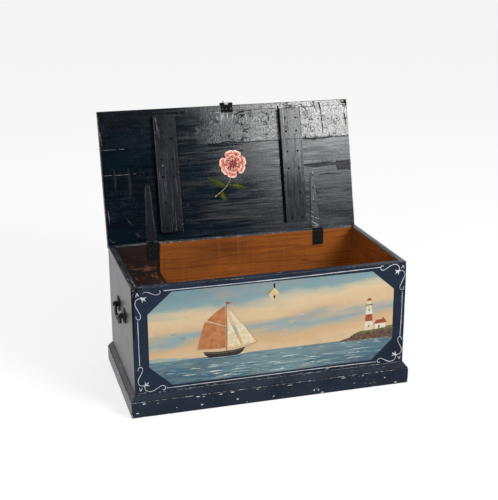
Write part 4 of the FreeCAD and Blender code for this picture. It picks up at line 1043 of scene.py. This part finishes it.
# glossy and nearly black inside the lid, plain navy outside, and rubbed to brown wood on the arrises
lid_paint = varnished_black("varnished black blue paint, lid", "x", "#0c1820", "#040c13", 7, 0.24, 0.095,
                            0.33, 1.0, 0.65)
lid_back_paint = painted_pine("varnished navy paint, lid", "x", "#1c2534", "#151c29", bare_wood, 0.05, 0.3,
                              0.3)
lid_rubbed = painted_pine("black blue paint rubbed through", "x", "#1b222c", "#11161d", "#7d6650", 0.2, 0.35,
                          0.4)
lid_nodes = ("lid_plank_front", "lid_plank_middle", "lid_plank_back", "lid_front_strip",
             "lid_left_strip", "lid_right_strip")
lid_pieces = {name: bench_copy(name, 0.4) for name in lid_nodes}
wear(lid_pieces["lid_front_strip"], [
    worn_arris(on_lid(-lid_half, lid_length, 0), on_lid(lid_half, lid_length, 0), lid_up, lid_out,
               1.6, 21.0, 2.0, (0.985, 12, 5.0)),
    worn_arris(on_lid(-lid_half, lid_length, -lid_thick), on_lid(lid_half, lid_length, -lid_thick), lid_up,
               -lid_out, 1.8, 23.0, 2.0),
])
for side, name in ((-1, "lid_left_strip"), (1, "lid_right_strip")):
    x = lid_half * side
    wear(lid_pieces[name], [
        worn_arris(on_lid(x, -lid_tail, 0), on_lid(x, lid_length, 0), RIGHT * side, lid_out,
                   1.5, 41.9 + side, 2.0),
        worn_arris(on_lid(x, -lid_tail, -lid_thick), on_lid(x, lid_length, -lid_thick), RIGHT * side,
                   -lid_out, 1.7, 37.0 + side, 1.8),
    ])
for name, piece in lid_pieces.items():
    give_finishes(piece, [lid_paint, lid_back_paint, lid_rubbed],
                  lambda c, n, worn: 2 if worn else 0 if n.dot(lid_out) > 0.3 else 1)
    place_piece(piece, "lid", "painted_pine", name)

# Old paint fills the joints between the planks almost to the surface, and has cracked and rubbed light in
# places. The varnish on them is crazed, scored by the folded hasp, rubbed grey, and dull in a let in patch.
joint_marks = []
plank_half, joint_half = lid_half - 16, 0.35
for joint in (front_joint, back_joint):
    joint_marks.append(("old paint", dab([(-plank_half, joint - joint_half),
                                          (-plank_half, joint + joint_half),
                                          (plank_half, joint + joint_half),
                                          (plank_half, joint - joint_half)], -0.5, -3.0)))
rub = random.Random(5)
for joint, spots in ((front_joint, [(-458, -402), (-395, -376), (40, 70), (110, 150), (283, 318)]),
                     (back_joint, [(-453, -424), (-418, -362), (-352, -341), (60, 120), (275, 459)])):
    for begin, end in spots:
        joint_marks += strokes("bared", 0.12, ([(begin, joint + 0.7),
                                                ((begin + end) / 2, joint + rub.uniform(0.2, 1.6)),
                                                (end, joint + 0.6)], (0.5, 1.6, 1.0, 1.8, 0.4)))
for points in ([(-42, 327), (-20, 331), (0, 333), (22, 331), (42, 327), (72, 324)],
               [(281, 326), (300, 324.5), (327, 326), (352, 324), (398, 327.5)],
               [(402, 238), (425, 236), (461, 239)], [(405, 206), (430, 209), (460, 206)],
               [(349, 460), (355, 442), (357, 412), (358, 376), (360, 341)],
               [(330, 461), (332, 443), (342, 421)],
               [(275, 453), (290, 445), (300, 430), (307, 415)], [(447, 415), (449, 386), (451, 360)],
               [(-76, 327), (-50, 324), (-30, 330)], [(312, 322), (322, 320), (331, 323)],
               [(216, 443), (240, 443.6), (262, 444)], [(214, 450), (240, 451), (270, 448)],
               [(26, 428), (60, 437), (96, 441)], [(434, 458), (446, 452), (456, 457)],
               [(440, 446), (450, 440), (457, 444)], [(446, 436), (455, 432)]):
    joint_marks += strokes("crack_and_shadow", 0.1, (points, (0.8, 3.8, 2.0, 4.4, 1.6, 3.4, 0.6)))
hasp_scores = ([(-24, 444), (-20, 424), (-22, 398)], [(-12, 440), (-10, 418), (-13, 404)],
               [(-17, 436), (-14, 412)], [(6, 438), (2, 420), (6, 404)], [(-36, 428), (-34, 410)],
               [(24, 430), (22, 414)],
               [(70, 432), (73, 412), (74, 396)], [(-44, 442), (-32, 438), (-26, 440)])
scratches = ([(-456, 397), (-455, 380), (-453, 352), (-452, 345)], [(-450, 120), (-448, 96), (-447, 74)],
             [(-458, 390), (-457, 372)], [(-452, 20), (-440, 8), (-434, 12)], [(-60, 432), (-58, 424)],
             [(-84, 340), (-82, 326)], [(312, 214), (318, 209)], [(-170, 118), (-160, 120)],
             [(275, 246), (333, 244), (388, 243.5)], [(384, 244), (430, 243), (458, 242)],
             [(455, 404), (456, 384)], [(462, 300), (461, 280)])
rubs = ([(-390, 92), (-378, 74), (-366, 60)], [(-362, 34), (-352, 26), (-340, 20)],
        [(-150, 400), (-100, 404), (-60, 398)], [(-180, 300), (-120, 303), (-70, 299)],
        [(60, 200), (120, 203), (190, 198)], [(70, 290), (130, 287), (190, 291)],
        [(280, 290), (350, 294), (450, 290)], [(290, 150), (360, 147), (450, 151)],
        [(-60, 110), (40, 113), (130, 108)], [(-180, 60), (-90, 64), (40, 58)],
        [(300, 72), (380, 75), (455, 71)])
for finish, top, lines, thinnest, widest, begin, end in (("bright", 0.12, hasp_scores, 2.6, 4.4, 0.8, 1.0),
                                                         ("bared", 0.1, scratches, 1.2, 2.4, 0.5, 0.5),
                                                         ("faint", 0.08, rubs, 1.4, 3.0, 0.5, 0.5)):
    for points in lines:
        joint_marks += strokes(finish, top, (points, (begin, rub.uniform(thinnest, widest), end)))
for x, upper, lower, width in ((-418, 262, 176, 9), (-368, 262, 150, 13), (-352, 36, 16, 9)):
    joint_marks += strokes("smear", 0.05, ([(x, upper), (x + 2, (upper + lower) / 2), (x - 1, lower)],
                                           (0.3 * width, width, 0.8 * width, 0.5)))
strip_joint = reach_of("lid_front_strip", lid_up)[0]
batten_head = reach_of("lid_batten_right", lid_up)[1] + 1.2
batten_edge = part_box("lid_batten_right")[1].x / MM + 1.2
joint_marks += [
    *strokes("crack_and_shadow", 0.1, ([(275, 232), (320, 230), (380, 233)], (0.6, 3.4, 1.2, 2.6, 0.5))),
    ("crack_and_shadow", dab([(448, 457), (458, 459), (458, 440), (452, 446)], 0.08)),
    *strokes("crack_and_shadow", 0.08,
             # painted shadow: the wide black band down the left of the right batten
             ([(193.5, 452), (192.5, 400), (194, 350), (195.5, 322)], (4.0, 7.0, 4.5, 6.5, 4.0, 5.5, 2.0)),
             ([(-50, 322), (-20, 319), (10, 321), (52, 319)], (0.8, 3.6, 1.4, 4.4, 1.0)),
             # painted shadow: dark lines along the battens' edges and above the right one's head
             ([(batten_edge, 448), (batten_edge, 300), (batten_edge, 50)], (2.0, 3.2, 1.6, 2.8, 1.2)),
             ([(-197, 440), (-197.5, 300), (-198, 60)], (0.6, 1.8, 0.8, 1.6, 0.6)),
             ([(196, batten_head), (236, batten_head + 0.5), (271, batten_head)], (2.0, 3.0, 2.2, 3.4, 1.6)),
             ([(436, 453), (447, 449), (457, 450)], (1.5, 6.5, 4.0, 5.5, 2.0)),
             ([(444, 439), (450, 442), (457, 437)], (1.0, 4.6, 2.0, 4.0, 1.0)),
             ([(348, 456), (352, 444), (355, 428)], (2.0, 6.0, 2.5, 5.0, 1.0)),
             ([(357, 402), (358, 384), (359, 362)], (1.0, 5.2, 2.0, 6.0, 1.0)),
             ([(447, 414), (449, 398), (450, 380)], (1.0, 4.4, 2.0, 4.8, 1.0))),
    *strokes("crack_and_shadow", 0.1,
             ([(-70, strip_joint), (-20, strip_joint - 1), (30, strip_joint), (80, strip_joint - 1)],
              (0.5, 2.4, 1.0, 2.8, 1.4, 2.2, 0.6)),
             ([(96, strip_joint), (140, strip_joint - 1), (196, strip_joint)], (0.5, 3.0, 1.0, 2.4, 0.6)),
             ([(272, strip_joint), (310, strip_joint - 1), (345, strip_joint)], (0.5, 3.2, 1.6, 2.8, 0.8)),
             ([(366, strip_joint), (400, strip_joint - 1), (440, strip_joint)], (0.5, 2.0, 1.0, 1.8, 0.6))),
    *strokes("dull", 0.07,
             ([(274, 231), (320, 228), (372, 231), (402, 229)], (5, 17, 15, 8)),
             ([(330, 190), (360, 194), (420, 189)], (2, 7, 3))),
    *strokes("bared", 0.12,
             ([(402, 241.5), (430, 243), (459, 242)], (0.8, 2.6, 1.6, 0.6)),
             ([(459.5, 240), (460, 225), (459, 206)], (0.6, 2.2, 0.6))),
    *strokes("bared", 0.1, ([(214, 120), (226, 121.5)], (0.4, 0.4))),
    ("patch", dab([(401, 236), (430, 237.5), (457, 238), (456, 208), (430, 205), (404, 208)], 0.06)),
    *strokes("bared", 0.12,
             ([(408, 230), (420, 226), (428, 231), (440, 225)], (0.5, 1.4, 0.7, 1.3, 0.5)),
             ([(412, 214), (424, 218), (438, 213), (450, 217)], (0.5, 1.2, 0.6, 1.4, 0.5)),
             ([(430, 231), (432, 220), (429, 211)], (0.4, 1.0, 0.4))),
    *strokes("crack_and_shadow", 0.1, ([(-lid_half + 14, 4), (-300, 2), (-150, 3), (60, 2)], (0.6, 2.0, 1.0, 1.6, 0.5))),
]
# black for dirt in joints and cracks, and for the painted shadow beside the battens
crack_and_shadow_black = oil_colour("black dirt in joints and cracks, and painted shadow", "#050505", "#0b0a09", 9, 0.02)
lay_paint("lid_joints", "lid", on_lid, joint_marks,
          {"old paint": crack_and_shadow_black, "crack_and_shadow": crack_and_shadow_black,
           "faint": oil_colour("varnish rubbed grey", "#3f454e", "#1d232b", 22),
           "patch": oil_colour("dull paint on a let in patch", "#2c2d32", "#121215", 7, 0.15),
           "smear": oil_colour("varnish smeared", "#10181f", "#0a1119", 12, 0.12),
           "dull": oil_colour("varnish gone dull", "#3b3d40", "#24262a", 26, 0.12),
           "bright": oil_colour("varnish scored white", "#bcbebf", "#85888b", 7, 0.4),
           "bared": oil_colour("undercoat rubbed bare", "#8b8d90", "#4c4e53", 14)})

# ---------------------------------------------------------------- battens
# Two wide pine clamps across the planks, nailed on and painted over with them. Their long edges are rubbed,
# and their nails stand a little proud of the paint.
# the battens' varnish is thinner and greyer than the lid's; their side faces have none, and are painted near black
# and matt as painted shade
batten_paint = varnished_black("black blue paint, battens", "z", "#2d2f33", "#111318", 5, 0.3, 0.07, 0.2, 0.3)
# the rubbed arrises are mixed pale grey: partly wear, partly a painted highlight along the edges
batten_wear_and_highlight = painted_pine("black blue paint rubbed grey, partly painted highlight", "z", "#2a2f37", "#171c23", "#8a8784", 0.14,
                             0.25, 0.45)
batten_side_shade = painted_pine("black paint as painted shade, batten sides", "z", "#0b0e13", "#06080b", "#3a3836", -0.05, 0.5,
                           0.05)
for side, name in ((-1, "lid_batten_left"), (1, "lid_batten_right")):
    batten = bench_copy(name, 1.0)
    low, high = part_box(name)
    batten_foot, batten_top = reach_of(name, lid_up)
    batten_face = reach_of(name, lid_out)[1]
    wear(batten, [
        worn_arris(on_lid(edge / MM, batten_foot, batten_face), on_lid(edge / MM, batten_top, batten_face),
                   RIGHT * turn, lid_out, 1.8, 51.0 + 3 * side + turn, 3.0)
        for edge, turn in ((low.x, -1), (high.x, 1))])
    # the side faces take the near black paint, which is painted shade
    give_finishes(batten, [batten_paint, batten_wear_and_highlight, batten_side_shade],
                  lambda c, n, worn: 1 if worn else 2 if abs(n.x) > 0.7 else 0)
    place_piece(batten, "lid", "painted_pine", name)


def on_batten(x, s, proud):
    """A place on the battens' faces in metres."""
    return on_lid(x, s, proud + batten_face)


# Scuffs on them: rubs down the left edges, partly wear and partly painted highlight, pale strokes down the right
# one's left edge that are a painted highlight, a pale line along the right one's head, the rings of a knot, fine
# streaks of dirt with the grain, and dull navy strokes that darken their lower parts as painted shade.
batten_marks = [
    *strokes("bared", 0.1, ([(210, batten_top - 1.5), (235, batten_top - 1), (262, batten_top - 1.5)],
                            (0.6, 1.6, 1.0, 1.5, 0.5))),
    *strokes("bared", 0.2, ([(-249.5, 264.5), (-247.5, 261.5)], (2.4, 2.0))),
    # rubs down the battens' left edges: partly wear, partly painted highlight
    *strokes("rubbed", 0.1,
             ([(-263, 434), (-261, 420), (-259, 396), (-257, 372)], (1.0, 5.0, 3.0, 4.0, 0.8)),
             ([(-256, 408), (-254, 380), (-253, 352)], (0.8, 2.4, 0.8)),
             ([(208, 420), (210, 396), (206, 372), (206, 352)], (1.0, 3.6, 2.4, 3.2, 0.8)),
             ([(207, 338), (209, 316), (209, 290)], (0.8, 2.4, 0.8))),
    # painted highlight down the right batten's left edge
    *strokes("painted_highlight", 0.1,
             ([(203.5, 440), (205, 400), (204, 352)], (1.0, 4.0, 2.0, 5.0, 2.4, 3.4, 0.8)),
             ([(204, 338), (206, 300), (204, 262)], (0.6, 2.2, 1.0, 2.6, 0.6))),
]
knot_x, knot_s = 223, 212
for ring in (4, 9):
    circle = [(knot_x + ring * math.cos(turn), knot_s + 1.3 * ring * math.sin(turn))
              for turn in [math.tau * k / 12 for k in range(12)]]
    batten_marks.append(("rubbed", pull(circle, (0.9, 0.9), 0.06)))
for x, s, length in ((218, 250, 70), (232, 262, 110), (214, 190, 60), (240, 170, 90), (226, 120, 80),
                     (-232, 330, 90), (-246, 210, 80), (-226, 150, 70), (-240, 90, 60), (246, 380, 60),
                     (228, 400, 50), (-236, 400, 50)):
    batten_marks += strokes("rubbed", 0.06, ([(x, s), (x + 1.5, s - length / 2), (x, s - length)],
                                             (0.4, 1.0, 0.4)))
for k in range(56):
    x = rub.uniform(-266, -196) if k % 2 else rub.uniform(196, 266)
    s, length = rub.uniform(80, 440), rub.uniform(24, 130)
    batten_marks += strokes(rub.choice(("rubbed", "dark")), 0.06,
                            ([(x, s), (x + 1, s - length / 2), (x, max(40, s - length))],
                             (0.4, rub.uniform(0.8, 2.2), 0.4)))
# dull navy strokes over the lower parts of the battens: painted shade, darker towards their feet
for k in range(64):
    if k % 2:
        x, s = rub.uniform(203, 266), rub.uniform(70, 215)
    else:
        x, s = rub.uniform(-266, -198), rub.uniform(75, 290)
    batten_marks += strokes("navy", 0.05, ([(x, s), (x + 1, s - 30), (x, max(34, s - 70))],
                                           (0.8, rub.uniform(2.0, 5.0), 0.8)))
lay_paint("batten_scuffs", "lid", on_batten, batten_marks, {
    "navy": oil_colour("batten's paint gone dull, painted shade low down", "#151b27", "#0c1018", 14, 0.1),
    "dark": oil_colour("dirt in a batten's grain", "#0b0e13", "#14181e", 12, 0.1),
    "painted_highlight": oil_colour("painted highlight on a batten's edge", "#a4a5a6", "#6d6f72", 12, 0.3),
    "bared": oil_colour("undercoat bared on a batten", "#b9babc", "#77797d", 10),
    "rubbed": oil_colour("varnish rubbed grey on a batten", "#565a62", "#2d3239", 12)})

# ---------------------------------------------------------------- flower on the lid
# A stock blossom of the kind that coach and chest painters used: round petals in three rings about a dark
# heart, lit with comma strokes, on a bent stem with leaves. Painted in oils over the varnish.
flower_x, flower_s = 10, 253
bloom_marks = [
    ("stem", pull([(2, 214), (-8, 190), (-28, 166), (-64, 140)], (3.0, 2.6, 2.2, 3.2))),
    *[("leaf", dab(smooth_line(leaf, True), 0.35))
      for leaf in ([(-22, 171), (-36, 192), (-60, 206), (-84, 208), (-76, 193), (-52, 176)],
                   [(-14, 182), (4, 186), (30, 180), (58, 164), (34, 159), (6, 166)],
                   [(-40, 157), (-46, 145), (-38, 130), (-22, 122), (-20, 136), (-28, 150)])],
    *[("leaf light", pull(points, widths, 0.5, 0.36))
      for points, widths in (([(-26, 174), (-46, 191), (-76, 204)], (1.0, 2.6, 0.6)),
                             ([(-10, 180), (18, 175), (48, 166)], (1.0, 2.8, 0.6)),
                             ([(-38, 153), (-36, 140), (-26, 127)], (0.8, 2.4, 0.5)),
                             ([(-44, 190), (-50, 200)], (1.4, 0.5)), ([(20, 175), (30, 180)], (1.4, 0.5)))],
]


def from_heart(r, turn):
    """A place r millimetres from the flower's middle, in the direction turn."""
    return flower_x + r * math.cos(turn), flower_s + r * math.sin(turn)


def petal(turn, near, far, spread):
    """Outline of a petal that points that way from the flower's middle."""
    shape = [(near, -0.25), (0.55 * (near + far), -0.95), (0.88 * far, -0.85), (far, -0.3),
             (0.965 * far, 0.0), (far, 0.35), (0.86 * far, 0.9), (0.5 * (near + far), 0.95), (near, 0.25)]
    return smooth_line([from_heart(r, turn + spread * side) for r, side in shape], True, 4)


def comma(turn, near, far, bend):
    """A comma stroke along a petal."""
    return [from_heart(r, turn + bend * k) for k, r in enumerate((near, 0.5 * (near + far), far))]


rings = ((7, 12, 50, 0.50, 0.2, "pink", "rose", 0.30), (6, 8, 35, 0.56, 0.6, "pink", "shade", 0.55),
         (4, 3, 20, 0.78, 0.1, "rose", "shade", 0.80))
for count, near, far, spread, first, tone, dark, top in rings:
    for k in range(count):
        turn = first + math.tau * k / count + 0.14 * math.sin(2.3 * k + first)
        tip = far * (1 + 0.07 * math.sin(3.1 * k))
        rise = top + 0.02 * (k % 3)
        bloom_marks.append((tone, dab(petal(turn, near, tip, spread), rise)))
        bloom_marks.append((dark, dab(petal(turn + 0.08, near, 0.8 * tip, 0.66 * spread), rise + 0.03)))
        fold, rim = [[from_heart(r * tip, turn + spread * side) for r, side in line] for line in (
            ((0.3, 0.5), (0.7, 0.96), (0.93, 0.85)),
            ((0.74, -0.8), (0.9, -0.62), (0.95, -0.3), (0.92, 0.05), (0.94, 0.4), (0.84, 0.72)))]
        bloom_marks.append(("shade", pull(fold, (0.05 * far, 0.04 * far, 0.3), rise + 0.06, rise)))
        bloom_marks.append(("blush", pull(rim, (0.4, 0.10 * far, 0.06 * far, 0.12 * far, 0.06 * far, 0.3),
                                          rise + 0.12, rise + 0.03)))
        for side, begin, wide in ((-0.45, 0.55, 0.05), (0.1, 0.48, 0.07), (0.5, 0.6, 0.04)):
            bloom_marks.append(("pink" if dark == "rose" else "blush",
                                pull(comma(turn + side * spread, begin * tip, 0.86 * tip, 0.05),
                                     (0.3, 0.7 * wide * far, 0.6), rise + 0.1, rise + 0.03)))
bloom_marks.append(("heart", dab(petal(0.3, 1, 8, 3.4), 0.86)))
for k in range(5):
    turn = math.tau * k / 5 + 0.4
    bloom_marks.append(("pink", pull([from_heart(3, turn), from_heart(6, turn + 0.5)], (1.6, 0.8), 1.0, 0.9)))
lay_paint("lid_flower", "lid", on_lid, bloom_marks, {
    "stem": oil_colour("oil, pale stem green", "#b3ab82", "#6f6d3e", 12, 0.08),
    "leaf": oil_colour("oil, olive leaf", "#3d430b", "#121c08", 16, 0.08),
    "leaf light": oil_colour("oil, light leaf", "#7c8434", "#4b551c", 12, 0.08),
    "rose": oil_colour("oil, rose madder and white", "#c9695c", "#9a3f38", 12, 0.08),
    "pink": oil_colour("oil, pink", "#f0a392", "#cf7768", 12, 0.08),
    "blush": oil_colour("oil, palest pink", "#ffeedb", "#fbcab0", 12, 0.08),
    "shade": oil_colour("oil, deep rose", "#6f1f1a", "#8d3a30", 8, 0.08),
    "heart": oil_colour("oil, crimson heart", "#5c1513", "#85302a", 6, 0.08),
})


# ---------------------------------------------------------------- hinges, hasp, lock and handles
# Smith's work in forged wrought iron, nailed on: black with old paint and oil, pitted, with rust in the
# corners. The hasp is rubbed bright, and the left strap and most nail heads are painted in with the wood.
def wrought_iron(name, iron, rust, share, roughness, metal=0.35, shine=0.5):
    """Forged iron: pitted by the hammer and by rust, which shows in patches."""
    material, add = new_material(name)
    place = add("TexCoord").outputs["Object"]
    pits = add("TexNoise", {"Vector": place, "Scale": across(2.2), "Detail": 5.0, "Roughness": 0.7})
    patches = add("TexNoise", {"Vector": place, "Scale": across(14), "Detail": 5.0, "Roughness": 0.65})
    rusty = add("MapRange", {"Value": patches, "From Min": 0.62 - share, "From Max": 0.78 - share},
                interpolation_type="SMOOTHSTEP")
    colour = add("Mix", {"Factor": rusty, "A": linear(iron), "B": linear(rust)}, data_type="RGBA")
    soft = add("Bevel", {"Radius": 0.6 * MM}, samples=6)
    bump = add("Bump", {"Height": pits, "Strength": 0.6, "Distance": 0.35 * MM, "Normal": soft})
    shader = add("BsdfPrincipled", {"Base Color": colour, "Roughness": roughness, "Metallic": metal,
                                    "Specular IOR Level": shine, "Normal": bump})
    add("OutputMaterial", {"Surface": shader})
    return material


black_iron = wrought_iron("blackened wrought iron", "#141517", "#33211a", 0.0, 0.42)
painted_iron = wrought_iron("wrought iron under varnished paint", "#1a1e24", "#3f4042", 0.05, 0.2)
lid_iron = wrought_iron("wrought iron painted in with the lid", "#070e15", "#1a1d20", 0.0, 0.5, 0.0, 0.12)
painted_nail = wrought_iron("nail heads under paint", "#0d1016", "#2c2826", 0.0, 0.3)
bright_iron = wrought_iron("rubbed wrought iron", "#a9a7a3", "#5a463a", 0.02, 0.42, 0.3)
# tar leaves the hasp's plate and the battens' nails dull and almost without a highlight
tarred_iron = wrought_iron("tarred iron, hasp plate", "#060708", "#3d3c3b", 0.1, 0.5, 0.0, 0.05)


def finish_nodes(finish, slot, *nodes):
    """Gives CAD nodes their finish."""
    for node in nodes:
        piece = frame["nodes"][node]
        piece.data.materials.clear()
        piece.data.materials.append(finish)


finish_nodes(black_iron, "black_iron", "hinge_leaf_left", "hinge_leaf_right", "hinge_pin_left",
             "hinge_pin_right", "handle_bail_left", "handle_bail_right", "handle_plate_left_front",
             "handle_plate_left_back", "handle_plate_right_front", "handle_plate_right_back")
finish_nodes(painted_iron, "black_iron", "hinge_strap_right")
finish_nodes(lid_iron, "black_iron", "hinge_strap_left")
finish_nodes(bright_iron, "black_iron", "hasp", "hasp_staple")
finish_nodes(tarred_iron, "black_iron", "hasp_plate", "hasp_pin")
finish_nodes(black_iron, "lock_iron", "lock_case", "lock_bolt", "lock_bolt_guide", "lock_spring",
             "lock_key_pin")
finish_nodes(tarred_iron, "nail_iron", "batten_nails")
finish_nodes(painted_nail, "nail_iron", "lid_strip_nails", "hinge_strap_nails",
             "hasp_plate_nails", "plinth_nails")
finish_nodes(black_iron, "nail_iron", "bottom_nails", "hinge_leaf_nails", "lock_nails", "handle_nails")

# Dark lines run along the right strap's edges and lines of thick old varnish along the left one's, and the right
# one's foot is scuffed bright. A pale dab on its top nail is a painted highlight.
strap_marks_and_glint = []
strap_face, strap_taper = 3.0, 9.5
on_strap = (strap_face + 0.15, strap_face - 0.05)
for side, node in ((-1, "hinge_strap_left"), (1, "hinge_strap_right")):
    low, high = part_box(node)
    middle_x, root = (low.x + high.x) / 2 / MM, (high.x - low.x) / 2 / MM
    tip = reach_of(node, lid_up)[1]
    for turn in (-1, 1):
        edge_line = [(middle_x + turn * (root - strap_taper * s / tip + 0.6), s)
                     for s in (14, 60, 110, 160, tip - 8)]
        # dark lines beside the right strap's edges, pale ones beside the left one's
        strap_marks_and_glint.append(("dirt" if side > 0 else "light", pull(edge_line, (1.2, 2.2, 1.4, 2.4, 1.0), 0.1)))
        if side < 0:
            inner_line = [(x - 2.4 * turn, s) for x, s in edge_line[1:]]
            strap_marks_and_glint.append(("light", pull(inner_line, (0.4, 1.2, 0.5, 1.4, 0.4), *on_strap)))
scuffs_middle = 312  # where the strap's middle lies among these scuffs
for points, widths in (([(295, 43), (312, 37), (329, 29)], (0.8, 3.4, 0.8)),
                       ([(294, 26), (308, 17), (323, 8)], (0.8, 3.8, 0.8)),
                       ([(299, 9), (312, 6), (325, 7)], (0.6, 2.4, 0.6)),
                       ([(296, 60), (306, 56)], (0.6, 2.2, 0.6)),
                       # a painted highlight on the strap's top nail
                       ([(313, 207), (314, 200), (315, 192)], (2.4, 4.2, 2.4)),
                       ([(309, 120), (312, 96)], (0.6, 2.4, 0.6))):
    strap_marks_and_glint.append(("scuff_and_glint", pull([(x + middle_x - scuffs_middle, s) for x, s in points], widths,
                                     *on_strap)))
lay_paint("strap_lines_and_glint", "lid", on_lid, strap_marks_and_glint, {
    "scuff_and_glint": oil_colour("iron scuffed bright, and a painted glint on a nail", "#b5b6b6", "#8d8f91", 8, 0.4),
    "dirt": crack_and_shadow_black, "light": oil_colour("varnish run along a strap", "#5d636c", "#2a3038", 14)})


# ---------------------------------------------------------------- studio
# A white sweep, one large soft lamp from the right and a weak one from the left, in an even white room. A
# black card stands far behind the camera, so that the lid's varnish has something dark to mirror.
def lamp(name, place, aim, width, height, power):
    """A soft lamp of that width and height in metres, turned to a point."""
    data = bpy.data.lights.new(name, "AREA")
    data.shape = "RECTANGLE"
    data.size, data.size_y, data.energy = width, height, power
    light = bpy.data.objects.new(name, data)
    light.location = place
    light.rotation_euler = (Vector(aim) - Vector(place)).to_track_quat("-Z", "Y").to_euler()
    bpy.context.scene.collection.objects.link(light)


lamp("softbox", (2.08, -3.34, 2.41), (0.1, 0.0, 0.45), 1.85, 1.45, 126)
lamp("fill", (-2.6, -2.6, 2.2), (0, 0, 0.3), 2.2, 1.6, 36)


def directly_seen(add):
    """1 where the camera sees a surface straight, mirrored or through glass, and 0 for the light it sheds."""
    rays = add("LightPath")
    seen = add("Math", (rays.outputs["Is Camera Ray"], rays.outputs["Is Glossy Ray"]),
               operation="MAXIMUM")
    return add("Math", (seen, rays.outputs["Is Transmission Ray"]), operation="MAXIMUM")


def slab(name, corners, low, high):
    """A block with upright sides: its corners from above and its lowest and highest level, in metres."""
    return closed_form(name, [(x, y, z) for z in (low, high) for x, y in corners],
                       [(0, 1, 2, 3), (4, 5, 6, 7), (0, 1, 5, 4), (1, 2, 6, 5), (2, 3, 7, 6), (3, 0, 4, 7)])


world = bpy.data.worlds.new("studio")
bpy.context.scene.world = world
world.use_nodes = True
add = adder(world.node_tree)
room_light, paper_glow = 0.52, 0.66
strength = add("MapRange", {"Value": directly_seen(add), "To Min": room_light, "To Max": 1.0})
add("OutputWorld", {"Surface": add("Background", {"Color": linear("#ffffff"), "Strength": strength})})

floor_half = 40.0
floor = slab("floor", ((-floor_half, -floor_half), (floor_half, -floor_half), (floor_half, floor_half),
                       (-floor_half, floor_half)), -0.02, 0.0)
paper, add = new_material("white paper sweep")
glow = add("Math", (directly_seen(add), paper_glow), operation="MULTIPLY")
shader = add("BsdfPrincipled", {"Base Color": linear("#b8b8b8"), "Roughness": 0.9,
                                "Specular IOR Level": 0.0, "Emission Color": linear("#ffffff"),
                                "Emission Strength": glow})
add("OutputMaterial", {"Surface": shader})
floor.data.materials.append(paper)

card = slab("black_card", ((-3.3, -5.5), (1.8, -5.5), (1.8, -5.52), (-3.3, -5.52)), 0.02, 5.2)
card.visible_camera = False
felt, add = new_material("black felt")
shader = add("BsdfPrincipled", {"Base Color": linear("#0c0c0c"), "Roughness": 1.0,
                                "Specular IOR Level": 0.0})
add("OutputMaterial", {"Surface": shader})
card.data.materials.append(felt)
bpy.context.scene.view_settings.view_transform = "Standard"
